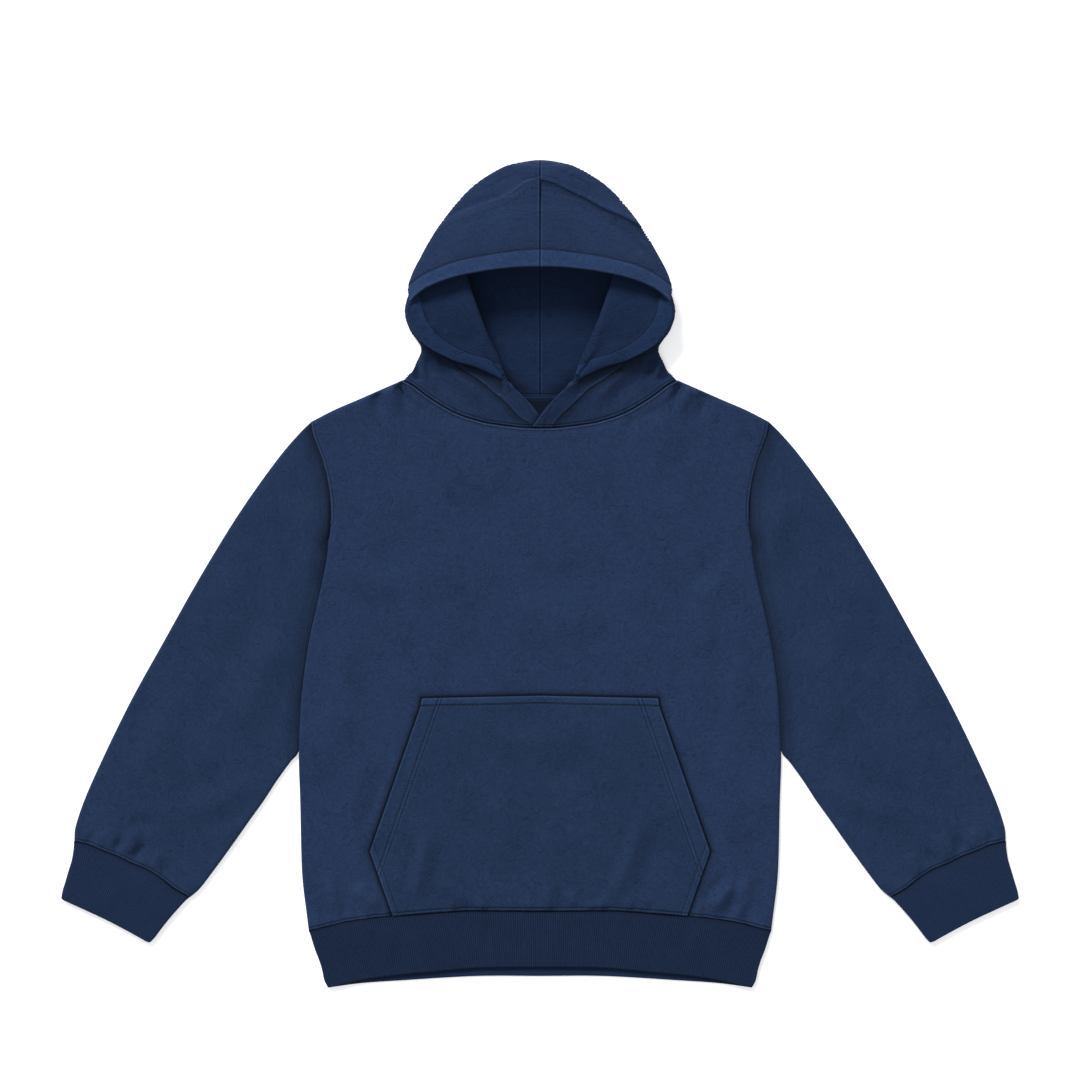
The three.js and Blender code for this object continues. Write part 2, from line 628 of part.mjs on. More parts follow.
function addPiece(name, geometry, material) {
  const mesh = new THREE.Mesh(geometry, material);
  mesh.name = name;
  garment.add(mesh);
}

addPiece('front_body', bodyPanel(frontNeckLine, true), fleece);
addPiece('back_body', bodyPanel(backNeckLine, false), fleece);
addPiece('sleeve_left', sleeve(1), fleece);
addPiece('sleeve_right', sleeve(-1), fleece);
addPiece('cuff_left', cuff(1), rib);
addPiece('cuff_right', cuff(-1), rib);
addPiece('hem_band', hemBand(), rib);
addPiece('hood_left', hoodPanel(1), fleece);
addPiece('hood_right', hoodPanel(-1), fleece);
addPiece('pocket', pocket(), fleece);

export default garment;
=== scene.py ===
# Pullover hoodie laid flat: its cloth, ribs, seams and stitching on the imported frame
import math

import bpy
import numpy as np
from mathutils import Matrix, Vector
from mathutils.bvhtree import BVHTree


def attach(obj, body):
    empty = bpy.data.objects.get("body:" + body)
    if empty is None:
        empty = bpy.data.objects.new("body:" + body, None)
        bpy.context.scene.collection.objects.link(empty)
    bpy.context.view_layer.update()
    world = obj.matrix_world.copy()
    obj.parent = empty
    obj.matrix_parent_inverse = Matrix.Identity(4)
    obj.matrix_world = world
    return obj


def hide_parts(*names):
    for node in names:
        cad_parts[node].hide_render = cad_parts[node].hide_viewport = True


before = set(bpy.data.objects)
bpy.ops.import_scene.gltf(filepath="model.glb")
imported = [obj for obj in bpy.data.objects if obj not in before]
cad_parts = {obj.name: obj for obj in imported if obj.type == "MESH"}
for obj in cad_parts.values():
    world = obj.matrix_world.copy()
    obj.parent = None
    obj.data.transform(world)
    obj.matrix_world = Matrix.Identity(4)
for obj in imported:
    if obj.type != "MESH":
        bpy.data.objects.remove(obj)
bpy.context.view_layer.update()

# Shapes are worked out in mm and become metres when a mesh is made
mm = 0.001


def smoothLine(points):
    # a centripetal spline through the points, read by share of its length
    pts = np.array(points, float)
    ext = np.vstack([2 * pts[0] - pts[1], pts, 2 * pts[-1] - pts[-2]])
    dense = []
    for i in range(1, len(ext) - 2):
        p0, p1, p2, p3 = ext[i - 1 : i + 3]
        d0, d1, d2 = (max(np.linalg.norm(b - a), 1e-6) ** 0.5
                      for a, b in ((p0, p1), (p1, p2), (p2, p3)))
        m1 = ((p1 - p0) / d0 - (p2 - p0) / (d0 + d1) + (p2 - p1) / d1) * d1
        m2 = ((p2 - p1) / d1 - (p3 - p1) / (d1 + d2) + (p3 - p2) / d2) * d1
        t = np.linspace(0, 1, 25)[:-1, None]
        dense.append(
            p1 * (2 * t**3 - 3 * t**2 + 1) + m1 * (t**3 - 2 * t**2 + t)
            + p2 * (3 * t**2 - 2 * t**3) + m2 * (t**3 - t**2)
        )
    return readLine(np.vstack(dense + [pts[-1:]]))


def readLine(dense):
    dense = np.array(dense, float)
    run = np.concatenate([[0], np.cumsum(np.linalg.norm(np.diff(dense, axis=0), axis=1))])

    def at(share):
        where = np.clip(share, 0, 1) * run[-1]
        return np.stack([np.interp(where, run, dense[:, k]) for k in range(dense.shape[1])], -1)

    return at


def joinLines(first, second, corner):
    def at(share):
        share = np.asarray(share, float)
        low = first(share / corner)
        high = second((share - corner) / (1 - corner))
        return np.where((share <= corner)[..., None], low, high)

    return at


def mirrorLine(line):
    return lambda share: line(share) * np.array([-1.0, 1.0])


def backward(line):
    return lambda share: line(1 - np.asarray(share, float))


def shiftLine(line, x, y):
    return lambda share: line(share) + np.array([x, y])


def patch(bottom, top, left, right, u, v):
    # a point inside four outline curves, for whole grids of u and v
    a, b = u[..., None], v[..., None]
    low, high = bottom(u), top(u)
    corner = (
        bottom(0.0) * (1 - a) * (1 - b) + bottom(1.0) * a * (1 - b)
        + top(0.0) * (1 - a) * b + top(1.0) * a * b
    )
    return left(v) * (1 - a) + right(v) * a + low * (1 - b) + high * b - corner


def smoothStep(start, stop, value):
    t = np.clip((value - start) / (stop - start), 0, 1)
    return t * t * (3 - 2 * t)


def nearLine(points, x, y):
    # distance to a polyline with its sign by side, and how far along it, both in mm
    pts = np.array(points, float)
    best = np.full(x.shape, 1e9)
    side = np.zeros(x.shape)
    along = np.zeros(x.shape)
    run = 0.0
    for a, b in zip(pts[:-1], pts[1:]):
        d = b - a
        length = float(np.hypot(*d))
        t = np.clip(((x - a[0]) * d[0] + (y - a[1]) * d[1]) / length**2, 0, 1)
        ox, oy = x - a[0] - t * d[0], y - a[1] - t * d[1]
        dist = np.hypot(ox, oy)
        closer = dist < best
        best = np.where(closer, dist, best)
        side = np.where(closer, np.sign(d[0] * oy - d[1] * ox), side)
        along = np.where(closer, run + t * length, along)
        run += length
    return best * np.where(side == 0, 1, side), along, run


def creaseHeight(creases, x, y):
    # soft ridges (height over 0) and troughs (under 0); the two widths are those of its
    # left and right side, looking along it
    total = np.zeros(x.shape)
    for path, height, wideLeft, wideRight in creases:
        reach = 3.2 * max(wideLeft, wideRight)
        px, py = [p[0] for p in path], [p[1] for p in path]
        close = (x > min(px) - reach) & (x < max(px) + reach)
        close &= (y > min(py) - reach) & (y < max(py) + reach)
        if not close.any():
            continue
        d, along, run = nearLine(path, x[close], y[close])
        wide = np.where(d > 0, wideLeft, wideRight)
        k = np.abs(d) / wide
        body = np.exp(-(k**1.7)) - 0.32 * np.exp(-(((k - 2.0) / 0.75) ** 2))
        taper = smoothStep(-1, run * 0.35, along) * smoothStep(run + 1, run * 0.65, along)
        total[close] += height * body * taper
    return total


def tuckHeight(tucks, x, y):
    # a fold lying over: a sharp step across the line, up on its left, easing off both ways
    total = np.zeros(x.shape)
    for path, height, wideLeft, wideRight in tucks:
        d, along, run = nearLine(path, x, y)
        ease = np.where(d > 0, np.exp(-np.abs(d) / wideLeft), np.exp(-np.abs(d) / wideRight))
        taper = smoothStep(-1, run * 0.12, along) * smoothStep(run + 1, run * 0.86, along)
        total += height * np.tanh(d / 2.1) * ease * taper
    return total


def tuckSide(tucks, x, y):
    # how far up (over 10) or down (under 10) a place lies from the nearest tuck, 0 to 20
    total = np.full(x.shape, 20.0)
    for path, *_ in tucks:
        d, along, run = nearLine(path, x, y)
        taper = smoothStep(-1, run * 0.08, along) * smoothStep(run + 1, run * 0.92, along)
        here = np.clip(10 + d, 0, 20) * taper + 20 * (1 - taper)
        total = np.where((np.abs(d) < 10) & (taper > 0.02), here, total)
    return total


def restlessness(x, y, size, seed):
    # a slow uneven swell, the same each run
    local = np.random.default_rng(seed)
    total = np.zeros(x.shape)
    for _ in range(9):
        angle, phase = local.uniform(0, math.pi), local.uniform(0, 6.28)
        scale = size * local.uniform(0.6, 1.7)
        total += np.sin((x * math.cos(angle) + y * math.sin(angle)) * 6.283 / scale + phase)
    return total / 4.5


def gridNormals(grid, around):
    up = np.empty_like(grid)
    up[1:-1] = grid[2:] - grid[:-2]
    up[0], up[-1] = grid[1] - grid[0], grid[-1] - grid[-2]
    if around:
        side = np.roll(grid, -1, 1) - np.roll(grid, 1, 1)
    else:
        side = np.empty_like(grid)
        side[:, 1:-1] = grid[:, 2:] - grid[:, :-2]
        side[:, 0], side[:, -1] = grid[:, 1] - grid[:, 0], grid[:, -1] - grid[:, -2]
    normal = np.cross(side, up)
    return normal / np.maximum(np.linalg.norm(normal, axis=-1, keepdims=True), 1e-9)


def mirrorGrid(grid):
    flipped = grid[:, ::-1].copy()
    if flipped.shape[-1] == 3:
        flipped[..., 0] *= -1
    return flipped


def shell(name, outer, inner, clothUv, marks, around=False, mirrored=False):
    # a closed wall between an outer and an inner grid of the same size; the faces of the
    # inner one take the second material. Marks are the same on both grids, or a pair
    if mirrored:
        outer, inner, clothUv = mirrorGrid(outer), mirrorGrid(inner), mirrorGrid(clothUv)
    rows, columns = outer.shape[:2]
    count = rows * columns
    span = columns if around else columns - 1
    i, j = np.meshgrid(np.arange(rows - 1), np.arange(span), indexing="ij")
    n = (j + 1) % columns
    a, b, c, d = i * columns + j, i * columns + n, (i + 1) * columns + n, (i + 1) * columns + j
    quads = [np.stack([a, b, c, d], -1).reshape(-1, 4)]
    quads.append(np.stack([a, d, c, b], -1).reshape(-1, 4) + count)
    low = np.arange(span)
    high = (low + 1) % columns
    quads.append(np.stack([low, low + count, high + count, high], -1))
    top = (rows - 1) * columns
    quads.append(np.stack([top + low, top + high, top + high + count, top + low + count], -1))
    if not around:
        r = np.arange(rows - 1) * columns
        quads.append(np.stack([r, r + columns, r + columns + count, r + count], -1))
        e = r + columns - 1
        quads.append(np.stack([e, e + count, e + columns + count, e + columns], -1))
    faces = np.vstack(quads)
    points = np.vstack([outer.reshape(-1, 3), inner.reshape(-1, 3)]) * mm
    mesh = bpy.data.meshes.new(name)
    mesh.from_pydata(points.tolist(), [], faces.tolist())
    both = np.vstack([clothUv.reshape(-1, 2), clothUv.reshape(-1, 2)]) * mm
    loopVerts = np.empty(len(mesh.loops), np.int32)
    mesh.loops.foreach_get("vertex_index", loopVerts)
    layer = mesh.uv_layers.new(name="cloth")
    layer.uv.foreach_set("vector", both[loopVerts].astype(np.float32).ravel())
    for label, values in marks.items():
        attribute = mesh.attributes.new(label, "FLOAT", "POINT")
        pair = values if isinstance(values, tuple) else (values, values)
        flat = [(v[:, ::-1] if mirrored else v).ravel() for v in pair]
        attribute.data.foreach_set("value", np.concatenate(flat).astype(np.float32))
    slot = np.zeros(len(faces), np.int32)
    slot[len(quads[0]) : 2 * len(quads[0])] = 1
    mesh.materials.append(None)
    mesh.materials.append(None)
    mesh.polygons.foreach_set("material_index", slot)
    mesh.shade_smooth()
    mesh.set_sharp_from_angle(angle=math.radians(55))
    piece = bpy.data.objects.new(name, mesh)
    bpy.context.scene.collection.objects.link(piece)
    return piece


def roundEdge(outer, inner, distance, radius):
    # draws the two faces of a wall together towards an edge, so the fold is round
    t = np.clip(1 - distance / radius, 0, 1)
    pull = (0.5 * (1 - np.sqrt(1 - t**2)) * 0.96)[..., None]
    return outer + (inner - outer) * pull, inner + (outer - inner) * pull


def rollSteps():
    # a quarter turn: how far in from the edge, and how high
    angle = np.linspace(0, math.pi / 2, 6)
    return 1 - np.cos(angle), np.sin(angle)


def pressed(distance, depth, width):
    # a soft groove, so deep at distance 0
    return depth * np.exp(-((distance / width) ** 2))


# Outlines of the right half seen from above, in mm; the left half mirrors them
armholeLine = [(266, 177), (263.5, 162.5), (258, 147.5), (252.5, 133.5), (247.5, 115), (244.5, 98.5),
               (242.7, 82.5), (242.5, 65), (243, 52), (245, 40.5)]
torsoSideLine = [(245, 40.5), (247.5, 19.5), (254, -14), (262, -48.5), (269.5, -86), (277, -145),
                 (279.5, -211), (278, -261), (276, -342), (274, -365.5), (271, -388.5), (268, -412.5)]
shoulderLine = [(158.5, 226), (185, 214.5), (211, 203), (239, 191), (266, 177)]
frontNeckLine = [(0, 170.5), (20, 171), (42.5, 173.5), (64.5, 177), (85.5, 183), (101.5, 189.5),
                 (116.5, 198), (131, 207.5), (146, 219), (158.5, 226)]
backNeckLine = [(0, 206.5), (69.5, 209), (116, 214.5), (158.5, 226)]
hemSeamLine = [(0, -389.5), (86, -389), (117, -391), (147.5, -393.5), (190, -397), (225, -402),
               (251.5, -408.5), (268, -412.5)]
sleeveOuterLine = [(266, 177), (275.5, 168), (296, 145), (322.5, 110), (354, 64), (396.5, -6),
                   (435.5, -75.5), (474, -145), (508, -214.5), (528.5, -261), (536.5, -284),
                   (539.5, -296), (540, -308.5)]
sleeveInnerLine = torsoSideLine[:6] + [
    (280.2, -205), (289, -216), (305, -238), (320, -261), (336.5, -284), (353, -307.5), (378, -342),
    (396, -365), (406, -373.5)]
cuffSeamLine = [(540, -308.5), (522, -312.5), (504.5, -320), (489.5, -325.5), (474.5, -333),
                (454, -341.5), (439, -351), (424, -363), (406, -373.5)]
cuffEndLine = [(555.2, -375), (525.5, -388.5), (501, -400), (478, -412), (452, -426.5)]
cuffOuterLine = [(540, -308.5), (541, -319), (543, -330.5), (546.5, -342), (550, -354), (553.5, -365.5),
                 (555.2, -375)]
cuffInnerLine = [(406, -373.5), (410.5, -378), (421, -389.5), (430.5, -400.5), (439.5, -412),
                 (447.5, -422.5), (452, -426.5)]
hemSideLine = [(268, -412.5), (261, -435), (256.5, -446.5), (253, -458), (250.5, -470), (246, -478.5)]
hemFrontEdge = [(0, -453.5), (71, -454.5), (129, -459.5), (167, -463), (205.5, -468.5), (225, -473),
                (246, -478.5)]
hemBackEdge = [(0, -465), (71, -465), (160, -470), (209, -473.5), (246, -478.5)]
pocketSlantLine = [(197, -320), (138.2, -152), (137, -142.5)]
pocketSideLine = [(170.5, -395), (197, -320)]
pocketTopLine = [(0, -139.5), (137, -142.5)]
pocketBottomLine = [(0, -388.9), (86, -388.4), (117, -390.4), (147.5, -392.9), (170.5, -395)]


def mirrorPoints(points):
    return [(-x, y) for x, y in points]


def bothSides(points):
    return [points, mirrorPoints(points)]


def wholeLine(points):
    # from the left end over the middle to the right end
    return mirrorPoints(points)[::-1] + list(points[1:] if points[0][0] == 0 else points)


def seamDip(seams, x, y, depth, stitchAt=()):
    # a seam draws the cloth down into a groove; the topstitching beside it presses a second
    # one, and beyond that the cloth swells a little
    drop = np.zeros(x.shape)
    for seam in seams:
        d = np.abs(nearLine(seam, x, y)[0])
        drop = np.maximum(drop, pressed(d, depth, 1.7))
        for at in stitchAt:
            drop = np.maximum(drop, pressed(d - at, 0.35, 0.9))
        if stitchAt:
            drop += np.where(drop < 0.05, pressed(d - stitchAt[-1] - 4.5, -0.45, 3.2), 0)
    return drop


def away(lines, x, y):
    # distance to the nearest of some lines
    return np.min([np.abs(nearLine(line, x, y)[0]) for line in lines], axis=0)


torso = {
    "clothThickness": 2.4,
    "stackHeight": 8.4,
    "underarmShare": 0.765,
    "neckShare": 0.6,
    "acrossSteps": 220,
    "alongSteps": 196,
    "armholeDip": 2.4,
    "neckDip": 1.6,
    "hemDip": 2.4,
    "creaseScale": 2.8,
    "swell": 0.8,
    "height": 600,      # about that of a panel, for the share that a rounded edge takes
    "creases": [
        (((230, -353), (211, -372), (194, -392)), 2.3, 9, 7),
        (((-215, -356), (-200, -372), (-184, -389)), 1.9, 7, 9),
        (((245, -338), (236, -366), (228, -398)), 1.2, 8, 6),
        (((-249, -345), (-238, -372), (-234, -398)), 1.2, 6, 8),
        (((-226, 20), (-196, -6), (-150, -22)), 1.4, 12, 16),
        (((226, 24), (204, -12), (176, -30)), 1.2, 16, 11),
        (((-236, -60), (-226, -120), (-222, -200)), 1.3, 14, 18),
        (((238, -40), (230, -110), (226, -180)), 1.2, 18, 13),
        (((-150, 168), (-120, 130), (-96, 80)), 1.0, 20, 15),
        (((158, 176), (136, 140), (122, 92)), 1.1, 15, 21),
        (((-60, -30), (10, -52), (92, -48)), 0.8, 24, 20),
        (((-262, -384), (-255, -416)), 0.6, 4, 4), (((-206, -378), (-203, -404)), 0.6, 5, 4),
        (((262, -386), (256, -416)), 0.5, 4, 4), (((244, -378), (238, -412)), -0.6, 5, 5),
        (((188, -372), (181, -402)), 0.7, 4, 5),
        (((-196, -190), (-212, -250), (-222, -300)), 1.0, 12, 14),
        (((205, -200), (219, -262), (228, -312)), 1.0, 14, 12),
        (((-166, 256), (-163, 220), (-150, 194)), -2.1, 5, 5),
        (((-178, 250), (-174, 212), (-160, 184)), 1.7, 6, 5),
        (((-190, 244), (-189, 204), (-180, 178)), -1.9, 5, 7),
        (((-150, 205), (-118, 186), (-84, 172)), -0.9, 7, 9),
        (((166, 256), (163, 220), (150, 194)), -2.1, 5, 5),
        (((178, 250), (174, 212), (162, 182)), 1.7, 5, 6),
        (((190, 243), (190, 202), (183, 176)), -1.9, 7, 5),
        (((152, 204), (120, 184), (88, 171)), -0.9, 9, 7),
    ],
}
rollRadius = torso["stackHeight"] / 2
insideClear = 0.3       # mm, least height of a wall's inner face over the table


def insidePocket(x, y):
    half = np.where(y > -320, 137 + (-142 - y) * 0.337, 197 + (y + 320) * 0.35)
    return 1 - np.maximum(smoothStep(1, 14, np.abs(x) - half), smoothStep(1, 14, y + 141))


def frontHeight(x, y):
    lift = torso["creaseScale"] * creaseHeight(torso["creases"], x, y)
    lift += torso["swell"] * restlessness(x, y, 120, 3)
    lift *= (1 - insidePocket(x, y)) * smoothStep(0.2, 6, away(bothSides(shoulderLine), x, y))
    return torso["stackHeight"] + lift


def bodySide():
    low, high = backward(smoothLine(torsoSideLine)), backward(smoothLine(armholeLine))
    return joinLines(low, high, torso["underarmShare"])


def roundRise(share):
    # the height of a rounded edge, by how much of its radius one has come in
    return np.where(share < 1, np.sqrt(np.clip(1 - (1 - share) ** 2, 0, 1)), 1)


def bodyGrid(neckPoints, isFront):
    hemHalf = smoothLine(hemSeamLine)
    hem = joinLines(backward(mirrorLine(hemHalf)), hemHalf, 0.5)
    upperHalf = joinLines(smoothLine(neckPoints), smoothLine(shoulderLine), torso["neckShare"])
    upper = joinLines(backward(mirrorLine(upperHalf)), upperHalf, 0.5)
    right = bodySide()
    left = mirrorLine(right)
    thin = 1.0 if isFront else 0.5
    topEdge = rollRadius / torso["height"]
    along = np.linspace(0, 1 - topEdge, int(torso["alongSteps"] * thin))
    inward, _ = rollSteps()
    along = np.concatenate([along, (1 - inward * topEdge)[::-1][1:]])
    width = np.linalg.norm(right(along) - left(along), axis=-1)
    edge = rollRadius / width
    steps = inward[None, :-1] * edge[:, None]
    ease = np.linspace(0, 1, int(torso["acrossSteps"] * thin))
    middle = edge[:, None] + (1 - 2 * edge[:, None]) * ease[None]
    u = np.concatenate([steps, middle, 1 - steps[:, ::-1]], 1)
    v = np.repeat(along[:, None], u.shape[1], 1)
    flat = patch(hem, upper, left, right, u, v)
    x, y = flat[..., 0], flat[..., 1] + 0.15
    crest = np.zeros(x.shape)
    if isFront:
        crest = frontHeight(x, y)
        crest -= seamDip(bothSides(armholeLine), x, y, torso["armholeDip"], (3.2,))
        crest -= seamDip([wholeLine(frontNeckLine)], x, y, torso["neckDip"], (3.0, 6.2))
        crest -= seamDip([wholeLine(hemSeamLine)], x, y, torso["hemDip"])
        # where the pocket is sewn in with the hem, the panel below it sinks as well
        underPocket = smoothStep(176, 168, np.abs(x))
        crest -= 1.9 * smoothStep(12, 1, away([wholeLine(hemSeamLine)], x, y)) * underPocket
    centre = rollRadius + (0.1 if isFront else -0.1)
    fromSide = np.minimum(u, 1 - u) / edge[:, None]
    sideRise = roundRise(fromSide)
    sideRise += (1 - sideRise) * smoothStep(torso["underarmShare"] - 0.02, torso["underarmShare"], v)
    onShoulder = smoothStep(torso["neckShare"] - 0.02, torso["neckShare"] + 0.02, np.abs(2 * u - 1))
    rise = sideRise * (1 + (roundRise((1 - v) / topEdge) - 1) * onShoulder)
    z = centre + (crest - centre) * rise
    return np.stack([x, y, z], -1)


def makeBodyPanel(name, neckPoints, isFront):
    grid = bodyGrid(neckPoints, isFront)
    outer = grid if isFront else grid[:, ::-1].copy()
    inner = outer - gridNormals(outer, False) * torso["clothThickness"]
    border = np.zeros(outer.shape[:2], bool)
    border[:, 0] = border[:, -1] = border[-1] = True
    rolled = border & (np.abs(outer[..., 2] - rollRadius) < 1)
    inward = (inner - outer) * np.array([1, 1, 0])
    inward *= torso["clothThickness"] / np.maximum(np.linalg.norm(inward, axis=-1, keepdims=True), 1e-6)
    inner = np.where(rolled[..., None], outer + inward, inner)
    if isFront:
        inner[..., 2] = np.minimum(inner[..., 2], torso["stackHeight"] - 1.6)
    inner[..., 2] = np.maximum(inner[..., 2], insideClear)
    x, y = outer[..., 0], outer[..., 1]
    fromArmhole = away(bothSides(armholeLine), x, y) + 10 * smoothStep(66, 42, y)
    marks = {
        "neckAway": away([wholeLine(neckPoints)], x, y),
        "seamAway": np.minimum(fromArmhole, away([wholeLine(hemSeamLine)], x, y)),
        "pocketAway": np.full(x.shape, 99.0),
    }
    if isFront:
        rightSide = [(138.2, -152), (197, -320), (170.5, -395)]
        outline = mirrorPoints(rightSide)[::-1] + wholeLine(pocketTopLine) + rightSide
        marks["pocketAway"] = nearLine(outline, x, y)[0]
    return shell(name, outer, inner, outer[..., :2], marks)


def tubeGrid(edges, ends, along, acrossCount, underCount, heights, crestAt):
    # a flattened tube for a sleeve or a band: its rows run from the near to the far end, each
    # all round
    outerEdge, innerEdge = edges
    near, far, backFar = ends
    inward, rise = rollSteps()
    width = np.linalg.norm(outerEdge(along) - innerEdge(along), axis=-1)
    outerHeight, innerHeight, height = heights(along)
    rOut, rIn = outerHeight[:, None] / 2, innerHeight[:, None] / 2
    w = width[:, None]
    outShare, inShare = inward[None] * rOut / w, 1 - inward[None] * rIn / w
    start, stop = outShare[:, -1:], inShare[:, -1:]
    middle = start + (stop - start) * np.linspace(0, 1, acrossCount)[None, 1:-1]
    lower = start + (stop - start) * np.linspace(0, 1, underCount)[None, 1:-1]
    vTop = np.concatenate([outShare, middle, inShare[:, ::-1]], 1)
    vLow = np.concatenate([inShare[:, 1:], lower[:, ::-1], outShare[:, ::-1][:, :-1]], 1)
    uTop = np.repeat(along[:, None], vTop.shape[1], 1)
    uLow = np.repeat(along[:, None], vLow.shape[1], 1)
    xyTop = patch(outerEdge, innerEdge, near, far, uTop, vTop)
    xyLow = patch(outerEdge, innerEdge, near, backFar, uLow, vLow)
    flatTop = outerHeight[:, None] + (height - outerHeight)[:, None] * smoothStep(0, 0.2, vTop)
    flatTop = flatTop + (innerHeight[:, None] - flatTop) * smoothStep(0.62, 1, vTop)
    flatTop = flatTop + crestAt(uTop, vTop, xyTop[..., 0], xyTop[..., 1])
    k = len(inward)
    zTop = flatTop
    zTop[:, :k] = rOut + rise[None] * (flatTop[:, k - 1 : k] - rOut)
    zTop[:, -k:] = (rIn + rise[None] * (flatTop[:, -k : -k + 1] - rIn))[:, ::-1]
    zLow = np.zeros(vLow.shape)
    zLow[:, : k - 1] = rIn * (1 - rise[None, 1:])
    zLow[:, -(k - 1) :] = (rOut * (1 - rise[None, 1:]))[:, ::-1]
    upper = np.concatenate([xyTop, zTop[..., None]], -1)
    under = np.concatenate([xyLow, zLow[..., None]], -1)
    return [np.concatenate(pair, 1) for pair in ((upper, under), (uTop, uLow), (vTop, vLow))]


def wallInside(grid, thickness):
    inner = grid - gridNormals(grid, True) * thickness
    inner[..., 2] = np.clip(inner[..., 2], insideClear, None)
    return inner


sleeves = {
    "clothThickness": 2.4,
    "height": 7.8,
    "rootHeight": 5.6,
    "armholeGap": -0.3,
    "cutWidth": 165,
    "cutLength": 540,
    "alongSteps": 180,
    "acrossSteps": 62,
    "underSteps": 22,
    "creaseScale": 2.4,
    "swell": 0.8,
    "creases": [
        (((-522, -300), (-520, -312)), -1.1, 4, 4),
        (((-506, -296), (-507, -316)), 1.0, 6, 5),
        (((-485, -303), (-492, -322)), -1.5, 4, 4),
        (((-470, -292), (-480, -326)), 1.5, 8, 6),
        (((-457, -310), (-472, -332)), -1.4, 5, 5),
        (((-436, -318), (-452, -340)), 1.2, 8, 6),
        (((-479, -287), (-444, -287)), -1.0, 8, 8),
        (((524, -298), (519, -313)), -1.1, 4, 4),
        (((500, -292), (503, -316)), 1.2, 7, 6),
        (((482, -300), (489, -324)), -1.4, 4, 5),
        (((462, -296), (476, -330)), 1.4, 7, 8),
        (((446, -318), (462, -338)), -1.3, 5, 4),
        (((424, -322), (440, -348)), 1.1, 8, 7),
        (((-292, 96), (-268, 40), (-262, -20)), 1.3, 18, 13),
        (((288, 104), (270, 46), (264, -16)), 1.3, 13, 18),
        (((-300, -60), (-330, -130), (-350, -190)), 1.5, 16, 20),
        (((304, -70), (332, -128), (348, -196)), 1.4, 20, 15),
        (((-420, -120), (-440, -190), (-470, -250)), 1.0, 18, 14),
        (((414, -110), (442, -186), (468, -252)), 1.1, 14, 18),
        (((-330, -232), (-370, -262), (-420, -280)), 1.3, 12, 15),
        (((328, -236), (372, -268), (424, -286)), 1.2, 15, 11),
        (((-370, 20), (-352, -40), (-360, -100)), 0.9, 18, 22),
        (((366, 14), (356, -44), (366, -104)), 0.9, 22, 17),
    ],
}


def makeSleeve(name, side):
    s = sleeves
    outerEdge, innerEdge, near, far = (
        shiftLine(smoothLine(points), s["armholeGap"], 0)
        for points in (sleeveOuterLine, sleeveInnerLine, armholeLine, cuffSeamLine))

    def heights(u):
        inner = s["rootHeight"] + (s["height"] - s["rootHeight"]) * smoothStep(0.55, 0.8, u)
        return np.full(u.shape, s["height"]), inner, np.full(u.shape, s["height"] + 0.8)

    def crestAt(u, v, x, y):
        soft = smoothStep(0, 0.06, v) * smoothStep(1, 0.94, v)
        lift = s["creaseScale"] * creaseHeight(s["creases"], side * x, y)
        lift += s["swell"] * restlessness(side * x, y, 110, 11)
        lift *= soft
        lift -= seamDip([armholeLine], x, y, 2.6)
        lift -= seamDip([cuffSeamLine], x, y, 2.2)
        return lift

    along = np.linspace(0, 1, s["alongSteps"])
    along = along + 0.03 * np.sin(along * 2 * math.pi) / (2 * math.pi)
    grid, u, v = tubeGrid((outerEdge, innerEdge), (near, far, far), along, s["acrossSteps"],
                          s["underSteps"], heights, crestAt)
    inner = wallInside(grid, s["clothThickness"])
    uv = np.stack([v * s["cutWidth"], u * s["cutLength"]], -1)
    lines = {"rootAway": armholeLine, "seamAway": cuffSeamLine, "sideAway": torsoSideLine}
    marks = {label: away([line], grid[..., 0], grid[..., 1]) for label, line in lines.items()}
    return shell(name, grid, inner, uv, marks, around=True, mirrored=side < 0)


bands = {
    "clothThickness": 2.6,
    "height": 7.4,
    "ribPitch": 2.5,
    "ribHeight": 0.7,
    "stepsPerRib": 6,
    "rowSteps": 16,
    "swell": 0.25,
    "creaseScale": 1.8,
    "length": 66,
    "cuffWidth": 135,
    "hemWidth": 520,
    "cuffShift": (0.25, -0.15),
}


def makeBand(name, edges, ends, width, side, creases):
    b = bands
    ribs = int(round(width / b["ribPitch"]))
    along = np.concatenate([np.linspace(0, 0.95, b["rowSteps"]), [0.965, 0.978, 0.988, 0.995, 1]])

    def heights(u):
        return (np.full(u.shape, b["height"] + b["ribHeight"]),) * 3

    def crestAt(u, v, x, y):
        lift = b["creaseScale"] * creaseHeight(creases, side * x, y)
        lift += b["swell"] * restlessness(side * x, y, 70, 21)
        lift *= smoothStep(0, 0.05, v) * smoothStep(1, 0.95, v)
        return lift - pressed(u, 1.2, 0.03)

    grid, u, v = tubeGrid(edges, ends, along, ribs * b["stepsPerRib"] + 1, ribs * b["stepsPerRib"] // 2 + 1,
                          heights, crestAt)
    inner = wallInside(grid, b["clothThickness"])
    grid, inner = roundEdge(grid, inner, b["length"] * (1 - u), 1.6)
    uv = np.stack([v * width, u * b["length"]], -1)
    # the ribs are on the outside only; the inside keeps the value of a crest throughout
    marks = {"ribPhase": (v * ribs, np.full(u.shape, 0.5)), "seamAway": u * b["length"]}
    return shell(name, grid, inner, uv, marks, around=True, mirrored=side < 0)


def makeCuff(name, side):
    outerEdge, innerEdge, seam, end = (
        shiftLine(smoothLine(points), *bands["cuffShift"])
        for points in (cuffOuterLine, cuffInnerLine, cuffSeamLine, cuffEndLine))
    return makeBand(name, (outerEdge, innerEdge), (seam, end, end), bands["cuffWidth"], side, [])


